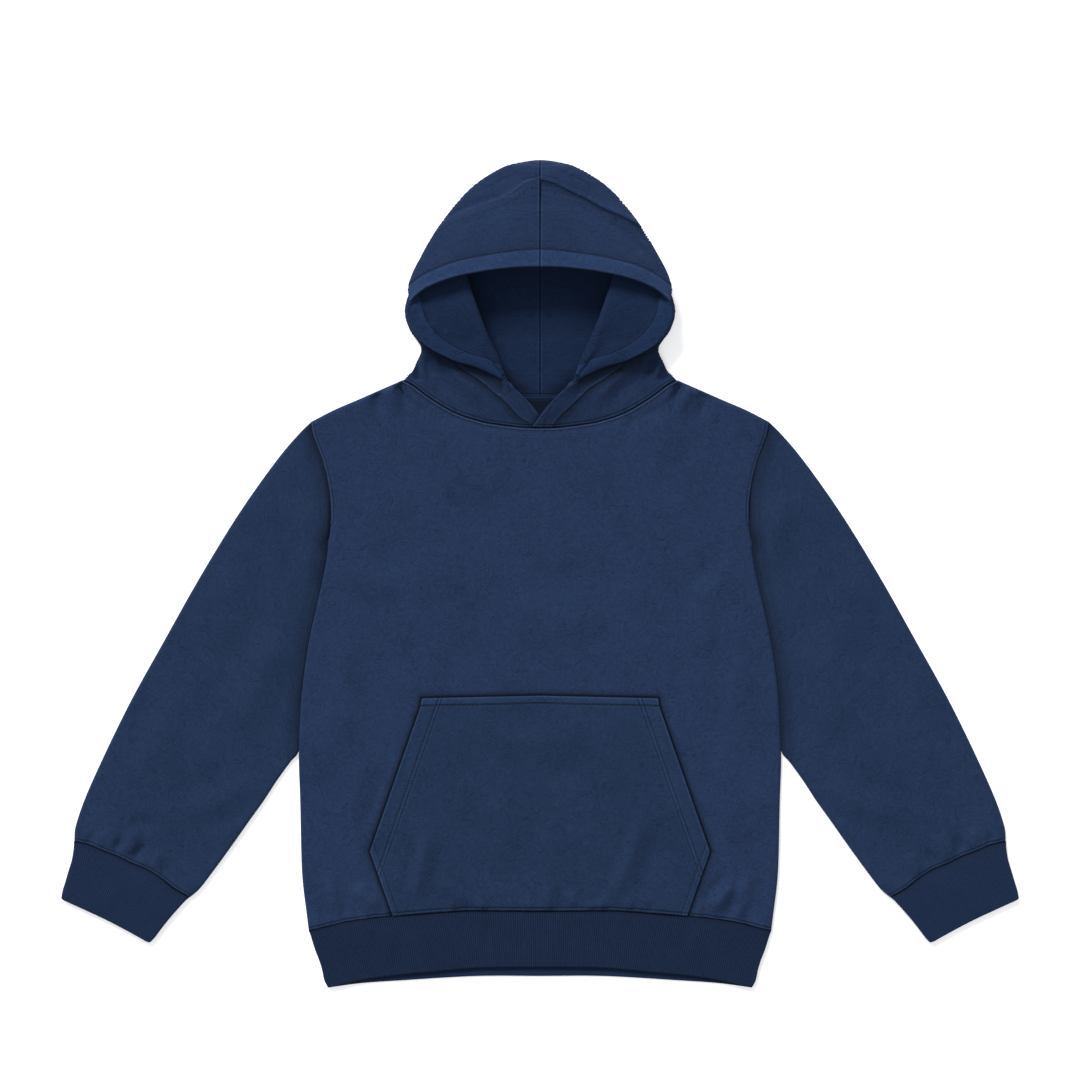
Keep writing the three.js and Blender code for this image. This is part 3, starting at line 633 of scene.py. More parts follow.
def makeHemBand(name):
    seam, front, back = (smoothLine(p) for p in (hemSeamLine, hemFrontEdge, hemBackEdge))
    whole = [joinLines(backward(half), mirrorLine(half), 0.5) for half in (seam, front, back)]
    sideEdge = smoothLine(hemSideLine)
    creases = [
        (((-60, -396), (-62, -440)), -0.5, 5, 5), (((96, -400), (98, -446)), -0.5, 6, 5),
        (((180, -404), (176, -455)), 0.6, 9, 7), (((-176, -404), (-172, -452)), 0.6, 7, 9),
        (((20, -396), (22, -430)), 0.5, 8, 8),
    ]
    return makeBand(name, (sideEdge, mirrorLine(sideEdge)), whole, bands["hemWidth"], 1, creases)


# The kangaroo pocket is one layer on the front panel; stitch places are mm in from an edge
pocketCloth = {
    "thickness": 2.0,
    "gap": 0.4,
    "acrossSteps": 132,
    "alongSteps": 96,
    "edgeDrop": 1.3,
    "openingLift": 0.9,
    "slantStitches": (16.5, 20.5),
    "topStitch": 9,
    "sideStitch": 7.5,
    "creaseScale": 4.0,
    "swell": 0.7,
    "creases": [
        (((-128, -290), (-138, -340), (-146, -382)), 1.0, 10, 7),
        (((-119, -346), (-102, -368), (-82, -386)), 1.0, 7, 7),
        (((122, -268), (106, -322), (88, -362), (80, -384)), 1.15, 12, 7),
        (((75, -379), (67, -385)), 1.0, 5, 5),
        (((34, -365), (39, -385)), 0.9, 5, 5),
        (((-104, -374), (-97, -396)), 0.8, 4, 4), (((-66, -366), (-70, -396)), 0.7, 6, 4),
        (((-44, -378), (-38, -396)), -0.5, 4, 5), (((-14, -372), (-8, -396)), 0.5, 6, 5),
        (((12, -352), (6, -396)), 0.7, 9, 6), (((62, -376), (54, -396)), 0.8, 4, 4),
        (((104, -370), (100, -398)), 0.6, 5, 5), (((132, -376), (126, -398)), -0.5, 5, 5),
        (((60, -170), (10, -190), (-70, -196)), 0.8, 20, 16),
        (((-60, -240), (-40, -300), (-52, -350)), 0.7, 18, 22),
    ],
}


def makePocket(name):
    p = pocketCloth
    cornerShare = 0.3
    right = joinLines(readLine(pocketSideLine), readLine(pocketSlantLine), cornerShare)
    topHalf, bottomHalf = readLine(pocketTopLine), readLine(pocketBottomLine)
    top = joinLines(backward(mirrorLine(topHalf)), topHalf, 0.5)
    bottom = joinLines(backward(mirrorLine(bottomHalf)), bottomHalf, 0.5)
    ease = np.linspace(0, 1, p["acrossSteps"])
    across = ease - 0.9 * np.sin(ease * 2 * math.pi) / (2 * math.pi) * 0.8    # closer at the sides
    rows = np.concatenate([np.linspace(0, cornerShare, p["alongSteps"] // 3)[:-1],
                           np.linspace(cornerShare, 1, p["alongSteps"] * 2 // 3)])
    u, v = np.meshgrid(across, rows)
    xy = patch(bottom, top, mirrorLine(right), right, u, v)
    x, y = xy[..., 0], xy[..., 1]
    # each hem line runs on to the pocket's edge, past the corner
    slants = bothSides([(213.5, -367), (132.6, -136)])
    sides = bothSides(pocketSideLine) + [wholeLine(pocketTopLine)]
    toSlant, toHem = away(slants, x, y), away([wholeLine(pocketBottomLine)], x, y)
    toSide, toOpening = away(sides, x, y), away(bothSides(pocketSlantLine), x, y)
    toSewn = np.minimum(toSide, toHem)
    toEdge = np.minimum(toOpening, toSewn)
    z = torso["stackHeight"] + p["gap"] + p["thickness"]
    lift = p["creaseScale"] * creaseHeight(p["creases"], x, y) + p["swell"] * restlessness(x, y, 90, 31)
    lift *= smoothStep(0, 6, toEdge)
    lift -= pressed(toSewn, p["edgeDrop"], 2.4) + pressed(toHem, 1.5, 4.0)
    lift += pressed(toSlant, p["openingLift"], 16) * smoothStep(0, 20, toSewn)
    for at in p["slantStitches"]:
        lift -= pressed(toSlant - at, 0.45, 1.1)
    topAway = away([wholeLine(pocketTopLine)], x, y)
    sideAway = away(bothSides([(170.5, -395), (209, -286)]), x, y)
    lift -= pressed(topAway - p["topStitch"], 0.45, 1.2) + pressed(sideAway - p["sideStitch"], 0.4, 1.1)
    outer = np.stack([x, y, z + lift], -1)
    low = torso["stackHeight"] + p["gap"] + np.maximum(lift, 0) * 0.9
    inner = np.stack([x, y, low], -1)
    outer, inner = roundEdge(outer, inner, toEdge, 1.1)
    marks = {"slantAway": toSlant, "topAway": topAway, "sideAway": sideAway,
             "edgeAway": np.minimum(toOpening, toSide), "seamAway": toHem}
    return shell(name, outer, inner, xy, marks)


# Rows of the hood from the neck seam to the crown, in mm: share of the way, front edge, the
# fold beside it, roll line of the turned-out edge, outside turn, and y on the centre seam
hoodRows = [
    (0.00, (-9, 171.8, 8.2), (24, 173, 8), (50, 176, 7.6), (157, 227.5, 4.2), 207.3),
    (0.09, (12, 199, 15), (28, 204, 15.5), (46, 209, 14.5), (146, 238, 5.5), 221),
    (0.17, (36, 220.5, 21), (39, 224, 23), (42, 227, 22), (137.5, 254, 7), 237),
    (0.25, (70, 238.5, 25), (60, 243, 28), (48, 248, 26.5), (136.5, 264, 7.5), 255),
    (0.34, (104, 249.5, 27), (86, 257, 30), (57, 268, 29), (141, 272, 8.5), 275),
    (0.45, (137, 270, 30), (112, 281, 32.5), (66, 290, 31), (149.5, 284.5, 10.5), 300),
    (0.57, (154, 304, 38), (140, 309, 34), (75, 314, 32), (155, 307, 13), 335),
    (0.67, (137, 325.5, 46), (150, 331, 33), (84, 343, 30), (147, 334, 12), 365),
    (0.77, (105, 340, 50), (138, 363, 31), (88, 371, 25), (131, 368, 11), 395),
    (0.88, (62, 349, 52.5), (108.5, 410.5, 26), (92, 409, 17), (99, 409, 8), 427),
    (0.95, (27, 352.8, 54), (71, 448, 24), (71, 450.5, 15), (66, 448, 7), 447),
    (0.98, (11, 353.4, 54), (36.5, 466.5, 29), (38, 472, 18), (38, 472, 8), 463),
    (0.99, (5, 353.5, 54), (18, 467, 33), (19, 475, 21), (18.5, 477.2, 10), 467.5),
    (1.00, (0, 353.5, 54), (0, 464, 36), (0, 476.5, 23), (0, 478.9, 12), 470),
]
hood = {
    "thickness": 2.2,
    "brimThickness": 3.6,
    "hemStitch": 20.5,
    "sliceLength": 380,
    "shares": [0, 0.11, 0.22, 0.33, 0.41, 0.45, 0.49, 0.60, 0.74, 0.79, 0.90, 1],
    "rollReach": 5,
    "rollDrop": 2.8,
    "overlapLift": 4.6,
    "rowSteps": 150,
    "columnSteps": 150,
    "tucks": [
        (((-134, 392), (-112, 408), (-98, 415), (-86, 419), (-63, 428), (-44, 433), (-29, 441), (-15, 451),
          (-2, 455), (14, 459)), -3.4, 14, 30),
        (((-14, 457), (2, 454), (18, 450), (32, 443), (51, 434), (70, 423), (94, 412), (118, 400),
          (140, 388)), 2.8, 12, 26),
        (((26, 471), (36, 456), (50, 437)), 2.6, 9, 7),
        (((84, 415), (104, 398), (122, 372)), 2.4, 8, 14),
        (((-139, 358), (-127, 386), (-108, 409)), -2.2, 8, 10),
        (((115, 403), (131, 377), (145, 342)), 2.0, 8, 9),
    ],
    "crown": [
        (((-106, 413), (-86, 419), (-63, 428), (-44, 433)), -1.2, 6, 5),
        (((3, 453), (18, 449), (32, 442), (51, 434)), -1.2, 5, 5),
        (((-34, 470), (-30, 458), (-16, 450)), -1.0, 5, 6),
        (((-118, 366), (-92, 392), (-60, 402)), 1.4, 14, 18),
        (((120, 362), (96, 388), (62, 398)), 1.4, 18, 14),
    ],
    "collar": [
        (((-144, 246), (-143, 232), (-140, 222)), -1.6, 4, 5),
        (((-131, 256), (-129, 240), (-122, 228)), -1.6, 5, 4),
        (((144, 246), (143, 232), (140, 222)), -1.6, 5, 4),
        (((131, 256), (129, 240), (122, 228)), -1.6, 4, 5),
        (((-112, 244), (-86, 222), (-66, 198)), 1.4, 11, 8),
        (((108, 246), (84, 224), (62, 200)), 1.4, 8, 11),
    ],
    "bandEdges": [
        [(92, 242), (70, 225), (56, 216), (48, 208), (38, 199), (30, 191), (24, 186), (19, 180), (15, 174)],
        [(-92, 242), (-70, 226), (-60, 218), (-51, 210), (-43, 204), (-36, 197), (-30, 190), (-23, 183),
         (-16, 179)],
    ],
    "lapel": [
        (((-128, 292), (-104, 296), (-84, 312)), 1.1, 10, 14),
        (((-147, 320), (-142, 300)), 1.5, 4, 4), (((-137, 302), (-131, 284)), 1.4, 4, 4),
        (((-126, 292), (-121, 276)), 1.1, 5, 4), (((-114, 300), (-110, 278)), -0.9, 6, 6),
        (((145, 322), (140, 303)), 1.3, 4, 4), (((133, 304), (127, 288)), 1.0, 4, 5),
        (((126, 290), (104, 298), (84, 310)), 1.1, 14, 10),
        (((-90, 262), (-76, 272), (-66, 286)), -1.0, 7, 8),
        (((88, 262), (76, 272), (68, 288)), -1.0, 8, 7),
    ],
}


def throughKnots(knots, values, at, levelEnd=False):
    # smooth through every knot; values run along the first axis. A level end meets its
    # mirror without a peak
    knots = np.array(knots, float)
    low = np.maximum(np.arange(len(knots)) - 1, 0)
    high = np.minimum(np.arange(len(knots)) + 1, len(knots) - 1)
    shape = (-1,) + (1,) * (values.ndim - 1)
    slopes = (values[high] - values[low]) / (knots[high] - knots[low]).reshape(shape)
    if levelEnd:
        slopes[-1, ..., 1:] = 0
    k = np.clip(np.searchsorted(knots, at, side="left") - 1, 0, len(knots) - 2)
    span = (knots[k + 1] - knots[k]).reshape(shape)
    t = (at - knots[k]).reshape(shape) / span
    blend = t * t * (3 - 2 * t)
    return (
        values[k] * (1 - blend) + values[k + 1] * blend
        + slopes[k] * span * (t - 2 * t**2 + t**3) + slopes[k + 1] * span * (t**3 - t**2)
    )


def hoodKnots(row):
    share, rim, fold, roll, turn, endY = row
    rim, fold, roll, turn = (np.array(p, float) for p in (rim, fold, roll, turn))
    floor = hood["thickness"] / 2
    end = np.array([0, endY, floor])
    rolled = float(smoothStep(0.09, 0.25, share) * smoothStep(0.98, 0.85, share))
    lift = np.array([0, 0, 1.0])

    def toward(a, b, drop):
        d = b - a
        return a + d / np.linalg.norm(d) * hood["rollReach"] + lift * drop * rolled

    under = turn + (end - turn) * min(12 / np.linalg.norm(end - turn), 0.3)
    under[2] = min(floor + 1.2 + 0.1 * turn[2], turn[2])
    middle = (turn + end) / 2
    middle[2] = floor
    bulge = 5 * float(smoothStep(0.6, 0.85, share))
    return np.array([
        rim, (rim + fold) / 2 + lift * bulge, fold, (fold + roll) / 2,
        toward(roll, fold, hood["rollDrop"]), roll, toward(roll, turn, -hood["rollDrop"]),
        (roll + turn) / 2 - lift * 1.5 * rolled, turn, under, middle, end,
    ])


def neckSeamRow(t):
    turnShare = hood["shares"][8]
    floor = hood["thickness"] / 2
    gap = np.where(t >= turnShare, -0.5, 0.5)
    back = smoothLine(backNeckLine)(1 - (t - turnShare) / (1 - turnShare))
    backZ = floor + smoothStep(turnShare + 0.06, turnShare, t) * (rollRadius - floor)
    share = t / turnShare * 1.05 - 0.05
    front = smoothLine(frontNeckLine)(share)
    pastMiddle = np.stack([share * 180, frontNeckLine[0][1] - share * 20], -1)
    front = np.where((share < 0)[:, None], pastMiddle, front)
    frontZ = rollRadius + (torso["stackHeight"] - 1.9 - rollRadius) * smoothStep(1, 0.9, share)
    onBack = (t >= turnShare)[:, None]
    xy = np.where(onBack, back, front) + np.stack([0 * gap, gap], -1)
    z = np.where(onBack[:, 0], backZ, frontZ)
    return np.concatenate([xy, z[:, None]], -1)


def hoodSurface(rows, fineT, lift):
    shares = np.array(hood["shares"])
    knots = [neckSeamRow(fineT)] + [throughKnots(shares, hoodKnots(row), fineT) for row in hoodRows[1:]]
    grid = throughKnots([row[0] for row in hoodRows], np.array(knots), rows, True)
    s, t = rows[:, None], fineT[None]
    atCrossing = smoothStep(48, 14, grid[..., 0]) * smoothStep(0.3, 0.14, s) * smoothStep(0.6, 0.4, t)
    atCrossing *= 0.4 + 0.6 * smoothStep(0, 0.07, s)
    grid[..., 2] = np.maximum(grid[..., 2], hood["thickness"] / 2) + lift * atCrossing
    return grid


def makeHoodPanel(name, side):
    rows = np.concatenate([np.linspace(0, 0.92, hood["rowSteps"])[:-1], np.linspace(0.92, 1, 26)])
    fineT = np.linspace(0, 1, 721)
    fine = hoodSurface(rows, fineT, hood["overlapLift"] if side > 0 else 0)
    run = np.cumsum(np.linalg.norm(np.diff(fine, axis=1), axis=-1), axis=1)
    run = np.concatenate([np.zeros((len(rows), 1)), run], 1)
    hemSteps = np.array([0, 0.25, 0.7, 1.3, 2.2, 3.6, 5.5, 8, 11, 14, 17, 19, 20, 21, 21.6, 22.2, 23, 25])
    rest = np.linspace(0, 1, hood["columnSteps"])[1:]
    columns = np.concatenate([np.repeat(hemSteps[None], len(rows), 0),
                              hemSteps[-1] + (run[:, -1:] - hemSteps[-1]) * rest[None]], 1)
    grid = np.empty(columns.shape + (3,))
    t = np.empty(columns.shape)
    for i in range(len(rows)):
        t[i] = np.interp(columns[i], run[i], fineT)
        for k in range(3):
            grid[i, :, k] = np.interp(columns[i], run[i], fine[i, :, k])
    # s runs from the neck to the crown, t from the front edge round to the centre seam
    s = np.repeat(rows[:, None], columns.shape[1], 1)
    x, y = side * grid[..., 0], grid[..., 1]
    normals = gridNormals(grid, False)
    crownZone = smoothStep(0.55, 0.64, s) * smoothStep(0.24, 0.2, t)
    lapelZone = np.maximum(
        smoothStep(0.2, 0.26, s) * smoothStep(0.62, 0.55, s) * smoothStep(0.42, 0.38, t),
        smoothStep(0.5, 0.6, s) * smoothStep(0.22, 0.27, t) * smoothStep(0.42, 0.38, t),
    )
    collarZone = smoothStep(0.31, 0.24, s) * smoothStep(0.78, 0.7, t)
    collarZone *= np.maximum(smoothStep(0.46, 0.52, t), smoothStep(0.2, 0.14, s))
    # folds fade where the cloth turns over, so that they leave the outline smooth
    crownZone *= 0.15 + 0.85 * smoothStep(0.25, 0.65, np.abs(normals[..., 2]))
    tucks = [tuck for tuck in hood["tucks"] if tuck[0][1][0] * side > 0]
    lapelZone *= smoothStep(0.24, 0.36, s)
    lift = crownZone * tuckHeight(tucks, x, y)
    for zone, creases, scale, swell, size, seed in (
        (crownZone, "crown", 1, 1.5, 75, 41), (collarZone, "collar", 2.8, 0.5, 60, 43),
        (-lapelZone, "lapel", 1.4, 0.6, 55, 47),
    ):
        lift += zone * (scale * creaseHeight(hood[creases], x, y) + swell * restlessness(x, y, size, seed))
    edgeAway = columns
    centreAway = np.minimum(run[:, -1:] - columns, 400)
    lift *= smoothStep(0, 8, edgeAway) * smoothStep(0, 3, centreAway)
    crownSeam = crownZone * pressed(x, 0.9, 1.8)
    outside = nearLine(hood["bandEdges"][0 if side > 0 else 1], x, y)[0] * side
    onCollar = (s < 0.34) & (t < 0.62) & (t > 0.05)
    bandAway = np.where(onCollar, np.clip(10 + outside, 0, 24), 24.0)
    hemLine = pressed(edgeAway - hood["hemStitch"], 0.55, 1.1) * smoothStep(0.24, 0.3, s)
    hemLine -= 0.9 * np.where(onCollar, smoothStep(1.0, -0.6, outside) * smoothStep(0.02, 0.08, s), 0)
    fromNeck = np.linalg.norm(grid - grid[:1], axis=-1)
    neckDip = pressed(fromNeck, 0.9, 2.2)
    middle = grid + normals * (lift - crownSeam)[..., None]
    half = hood["thickness"] / 2
    onBrim = smoothStep(22.6, 21.2, edgeAway) * smoothStep(0.3, 0.42, s)
    extra = (hood["brimThickness"] - hood["thickness"]) * onBrim
    outer = middle + normals * (half - hemLine - neckDip)[..., None]
    inner = middle - normals * (half + extra - 0.6 * hemLine)[..., None]
    outer, inner = roundEdge(outer, inner, edgeAway, 1.9)
    for face in (outer, inner):
        face[..., 2] = np.maximum(face[..., 2], 0.02)
        face[:, -1, 0] = 0
        face[-1, :, 0] = 0
        face[rows > 0.2, :, 0] = np.maximum(face[rows > 0.2, :, 0], 0)
    uv = np.stack([columns, s * hood["sliceLength"]], -1)
    onFrontEdge = (s < 0.5) & (t < 0.5)
    lapelEdge = [(12, 199), (36, 220.5), (70, 238.5), (104, 249.5), (137, 270), (154, 304)]
    belowRoll = smoothStep(0.42, 0.5, t) * smoothStep(0.36, 0.28, s)
    # the left panel's edge lies over, and only the right one is shaded under it
    overEdge = [(-9, 171.8), (12, 199), (36, 220.5)]
    lapAway = np.full(x.shape, 20.0) if side > 0 else np.clip(away([overEdge], x, y), 0, 20)
    marks = {
        "lapelAway": np.where(belowRoll > 0.5, away([lapelEdge], grid[..., 0], y), 99.0),
        "rimAway": columns + 99 * smoothStep(0.2, 0.18, s),
        "bandAway": bandAway,
        "edgeNear": np.minimum(columns + 6 * smoothStep(0.175, 0.2, s), 6.0),
        "lapAway": lapAway,
        "tuckAway": np.where(crownZone > 0.05, tuckSide(tucks[:1], x, y), 20.0),
        "centreAway": np.where(onFrontEdge, 99.0, np.abs(x)),
        "neckAway": fromNeck,
    }
    return shell(name, outer, inner, uv, marks, mirrored=side < 0)


def linear(hexColour):
    channels = [int(hexColour[i : i + 2], 16) / 255 for i in (0, 2, 4)]
    return tuple(c / 12.92 if c <= 0.04045 else ((c + 0.055) / 1.055) ** 2.4 for c in channels) + (1.0,)


def addNode(tree, kind, inputs=None, **settings):
    # an input that is a node or a socket is linked, any other is set
    node = tree.nodes.new(kind)
    for key, value in settings.items():
        setattr(node, key, value)
    for key, value in (inputs or {}).items():
        if isinstance(value, bpy.types.Node):
            value = value.outputs[0]
        if isinstance(value, bpy.types.NodeSocket):
            tree.links.new(value, node.inputs[key])
        else:
            node.inputs[key].default_value = value
    return node


def calculate(tree, operation, *values):
    return addNode(tree, "ShaderNodeMath", dict(enumerate(values)), operation=operation)


def addNoise(tree, where, size, detail, roughness=0.5, distortion=0.0):
    # size is that of one blotch in mm
    return addNode(tree, "ShaderNodeTexNoise", {
        "Vector": where, "Scale": 1000 / size, "Detail": detail, "Roughness": roughness,
        "Distortion": distortion})


def addRange(tree, value, start, stop, top=1.0):
    return addNode(tree, "ShaderNodeMapRange",
                   {"Value": value, "From Min": start, "From Max": stop, "To Max": top})


def mixColours(tree, share, first, second, blend="MIX"):
    mix = addNode(tree, "ShaderNodeMix", {0: share, 6: first, 7: second}, data_type="RGBA", blend_type=blend)
    return mix.outputs[2]


def newMaterial(name, shading):
    # shading fills the tree and gives what goes into the surface
    material = bpy.data.materials.new(name)
    material.use_nodes = True
    tree = material.node_tree
    tree.nodes.clear()
    surface = addNode(tree, "ShaderNodeBsdfPrincipled", shading(tree))
    addNode(tree, "ShaderNodeOutputMaterial", {"Surface": surface})
    return material


# Brushed-back cotton and polyester sweatshirt fleece, piece dyed navy: fully matt, its
# face faintly scuffed by short curved marks of raised fibre, with a soft halo at grazing
# angles. Sizes in mm
fleece = {
    "shade": "182744",
    "light": "243757",
    "cloudSize": 65,
    "scuffSize": 7,
    "curlSize": 19,
    "curlTone": 0.36,
    "curlDepth": 2.1,
    "fuzzSize": 1.6,    # loops are 0.9 mm; drawn nearly twice as coarse so they can show
    "bumpDepth": 0.45,
    "roughness": 0.94,
    "sheen": 0.1,
}

# The same cloth seen from its brushed back: longer pile and duller; its colour is about half as bright, partly
# the back's deeper tone and partly painted shade for the hollow of the hood and the inside of the garment
fleeceBackShaded = dict(fleece, shade="101d37", light="172b49", fuzzSize=2.0, bumpDepth=0.5, roughness=0.97)

# One-by-one rib knit in cotton with elastane: denser and a little darker than the fleece,
# its wales pulled tight into fine upright cords
rib = dict(fleece, shade="14243f", light="1c2e4e", cloudSize=50, scuffSize=5, bumpDepth=0.2,
           roughness=0.92, sheen=0.06, cordShade=0.62, curlTone=0.0, curlDepth=0.0)
shadeBetweenCords = "0a1120"

# Spun polyester sewing thread, dyed to match: rounder and a touch glossier than the cloth
thread = {"shade": "131e36", "light": "202e4c", "plySize": 0.8, "roughness": 0.6}

# Opal acrylic light table, matt: the glow from below leaves only faint shadows
table = {"shade": "fbfbfb", "light": "fdfdfd", "grainSize": 25, "glow": 0.44}


def profile(tree, label, stops, reach):
    # a value read across a seam: stops give it at distances in mm from the seam
    where = addNode(tree, "ShaderNodeAttribute", attribute_name=label)
    share = calculate(tree, "DIVIDE", where.outputs["Fac"], reach)
    ramp = addNode(tree, "ShaderNodeValToRGB", {0: share})
    ramp.color_ramp.interpolation = "EASE"
    marks = ramp.color_ramp.elements
    while len(marks) < len(stops):
        marks.new(1.0)
    for mark, (at, value) in zip(marks, stops):
        mark.position = at / reach
        mark.color = (value, value, value, 1)
    return ramp.outputs[0]


def cordWave(tree, phase):
    # 0 between two cords and 1 on the crest of one
    return calculate(tree, "ABSOLUTE", calculate(tree, "SINE", calculate(tree, "MULTIPLY", phase, math.pi)))


def clothMaterial(name, cloth, marks=()):
    # marks: (attribute, reach in mm, stops of painted shade and highlight) for each seam, fold and stitch line
    def shading(tree):
        uv = addNode(tree, "ShaderNodeUVMap", uv_map="cloth")
        cloud = addNoise(tree, uv, cloth["cloudSize"], 3.0, 0.55)
        scuff = addNoise(tree, uv, cloth["scuffSize"], 2.5, 0.6, 2.2)
        fuzz = addNoise(tree, uv, cloth["fuzzSize"], 2.0, 0.7)
        # thin curved marks: where a slow noise crosses its middle value, only here and there
        curl = addNoise(tree, uv, cloth["curlSize"], 1.5, 0.5, 1.8)
        level = calculate(tree, "ABSOLUTE", calculate(tree, "SUBTRACT", curl, 0.5))
        here = addRange(tree, scuff, 0.46, 0.58)
        mark = calculate(tree, "MULTIPLY", addRange(tree, level, 0.04, 0.006), here)
        tone = calculate(tree, "MULTIPLY_ADD", cloud, 0.45, 0.275)
        for part, weight in ((scuff, 0.9), (mark, -cloth["curlTone"]), (fuzz, 0.5)):
            tone = calculate(tree, "MULTIPLY_ADD", part, weight, tone)
        spread = addRange(tree, tone, 0.9, 1.5)
        colour = mixColours(tree, spread, linear(cloth["shade"]), linear(cloth["light"]))
        height = calculate(tree, "MULTIPLY_ADD", fuzz, 0.6, scuff)
        height = calculate(tree, "MULTIPLY_ADD", mark, -cloth["curlDepth"], height)
        bump = addNode(tree, "ShaderNodeBump",
                       {"Strength": 0.5, "Distance": cloth["bumpDepth"] * mm, "Height": height})
        # painted shade: a dark colour is mixed into the valleys between the cords, cordShade being how much
        if "cordShade" in cloth:
            phase = addNode(tree, "ShaderNodeAttribute", attribute_name="ribPhase")
            cord = cordWave(tree, phase.outputs["Fac"])
            valley = addRange(tree, cord, 0.75, 0.1, cloth["cordShade"])
            colour = mixColours(tree, valley, colour, linear(shadeBetweenCords))
        # painted shade and painted highlight: under 0.5 a mark darkens the colour as shade in a groove, a
        # stitch line or under an edge, over 0.5 it lightens it as light on a ridge; at 0.5 the cloth stays as
        # it is
        for label, reach, stops in marks:
            toneHere = profile(tree, label, stops, reach)
            colour = mixColours(tree, 1.0, colour, toneHere, "MULTIPLY")
            double = addNode(tree, "ShaderNodeVectorMath", {0: colour, "Scale": 2.0}, operation="SCALE")
            colour = double.outputs[0]
            bump = addNode(tree, "ShaderNodeBump", {
                "Strength": 0.8, "Distance": 1.6 * mm, "Height": toneHere, "Normal": bump})
        return {"Base Color": colour, "Normal": bump, "Roughness": cloth["roughness"], "IOR": 1.45,
                "Sheen Weight": cloth["sheen"], "Sheen Roughness": 0.5, "Sheen Tint": linear("7f97cc"),
                "Specular IOR Level": 0.2}

    return newMaterial(name, shading)


def plainMaterial(name, colours, blotch, detail, surface):
    def shading(tree):
        where = addNode(tree, "ShaderNodeTexCoord").outputs["Object"]
        patches = addNoise(tree, where, blotch, detail)
        colour = mixColours(tree, patches, linear(colours["shade"]), linear(colours["light"]))
        return dict(surface, **{"Base Color": colour})

    return newMaterial(name, shading)


# painted shade and painted highlight across a plain seam, a twin-needle one, the pocket's outline, and so on,
# by mm: dark stops are shade in grooves and stitch lines, light stops are light on ridges and raised edges
plainSeam = [(0, 0.08), (0.7, 0.14), (1.2, 0.76), (2.4, 0.78), (3.2, 0.28), (4.0, 0.32), (5.2, 0.52), (8, 0.5)]
twinSeam = [(0, 0.05), (0.9, 0.1), (1.4, 0.8), (2.6, 0.8), (3.2, 0.16), (4.0, 0.2), (4.9, 0.62), (5.8, 0.4),
            (6.8, 0.56), (9, 0.5)]
bandSeam = [(0, 0.16), (0.8, 0.26), (2.2, 0.4), (6, 0.47), (10, 0.5)]
pocketShadow = [(0, 0.03), (1.4, 0.06), (2.8, 0.3), (5.5, 0.43), (9, 0.5)]
# painted highlight along the pocket's folded edges
pocketEdgeHighlight = [(0, 0.4), (0.5, 0.8), (1.4, 0.8), (2.5, 0.54), (4, 0.5)]
topHem = [(0, 0.5), (7.2, 0.58), (8.2, 0.2), (9.2, 0.16), (10.3, 0.62), (12, 0.5)]
slantHem = [(0, 0.5), (15.2, 0.54), (16.4, 0.2), (17.5, 0.64), (19.4, 0.62), (20.5, 0.22), (21.7, 0.58),
            (24, 0.5)]
sideHem = [(0, 0.5), (6.3, 0.58), (7.4, 0.24), (8.5, 0.58), (10, 0.5)]
# painted highlight over the brim, and painted shade at its stitch line
rimHem = [(0, 0.3), (0.7, 0.68), (1.6, 0.78), (4, 0.7), (18.4, 0.74), (20.2, 0.36), (21.2, 0.38), (22.6, 0.46),
          (30, 0.5)]
# painted highlight on the band's raised edge, and painted shade on the collar beside it
bandEdge = [(0, 0.5), (7, 0.52), (9.2, 0.68), (9.8, 0.62), (10.3, 0.14), (11.4, 0.2), (14, 0.36), (20, 0.5)]
# painted highlight along the hood's front edge near the neck
edgeHighlight = [(0, 0.6), (0.6, 0.76), (1.6, 0.66), (3, 0.52), (5, 0.5)]
lapShade = [(0, 0.08), (1.0, 0.16), (3.5, 0.36), (8, 0.5)]
# painted highlight and painted shade along the crown's tuck
tuckLightAndShade = [(0, 0.5), (6, 0.46), (8.6, 0.36), (9.7, 0.2), (10.2, 0.34), (11, 0.68), (12.4, 0.64), (16, 0.52),
            (19, 0.5)]
centreSeam = [(0, 0.12), (0.5, 0.16), (1.0, 0.58), (1.9, 0.68), (3.6, 0.49), (8, 0.5)]
# painted shade on the sleeve beside the body and the armhole
besideBodyShade = [(0, 0.2), (2, 0.28), (9, 0.4), (20, 0.5)]
# painted shade on the collar under the lapel's edge
underLapelShade = [(0, 0.16), (4, 0.27), (12, 0.42), (20, 0.5)]
# painted shade inside the back below the neck seam, with a painted highlight on the seam's ridge
insideNeckShade = [(0, 0.72), (1.4, 0.68), (2.4, 0.28), (8, 0.2), (20, 0.2)]

# each entry pairs an attribute with its stops of painted shade and highlight
seamMark = ("seamAway", 12, plainSeam)
bodyMarks = [("neckAway", 20, twinSeam), seamMark]
pocketMarks = [("edgeAway", 12, pocketEdgeHighlight), ("slantAway", 30, slantHem), ("topAway", 20, topHem),
               ("sideAway", 16, sideHem), seamMark]
hoodMarks = [("rimAway", 40, rimHem), ("bandAway", 24, bandEdge), ("edgeNear", 6, edgeHighlight),
             ("lapAway", 20, lapShade), ("tuckAway", 20, tuckLightAndShade), ("centreAway", 12, centreSeam),
             ("neckAway", 12, plainSeam), ("lapelAway", 24, underLapelShade)]
bandMarks = [("seamAway", 12, bandSeam)]
frontCloth = clothMaterial("brushed sweatshirt fleece, front", fleece,
                           bodyMarks + [("pocketAway", 16, pocketShadow)])
panelCloth = clothMaterial("brushed sweatshirt fleece, back", fleece, bodyMarks)
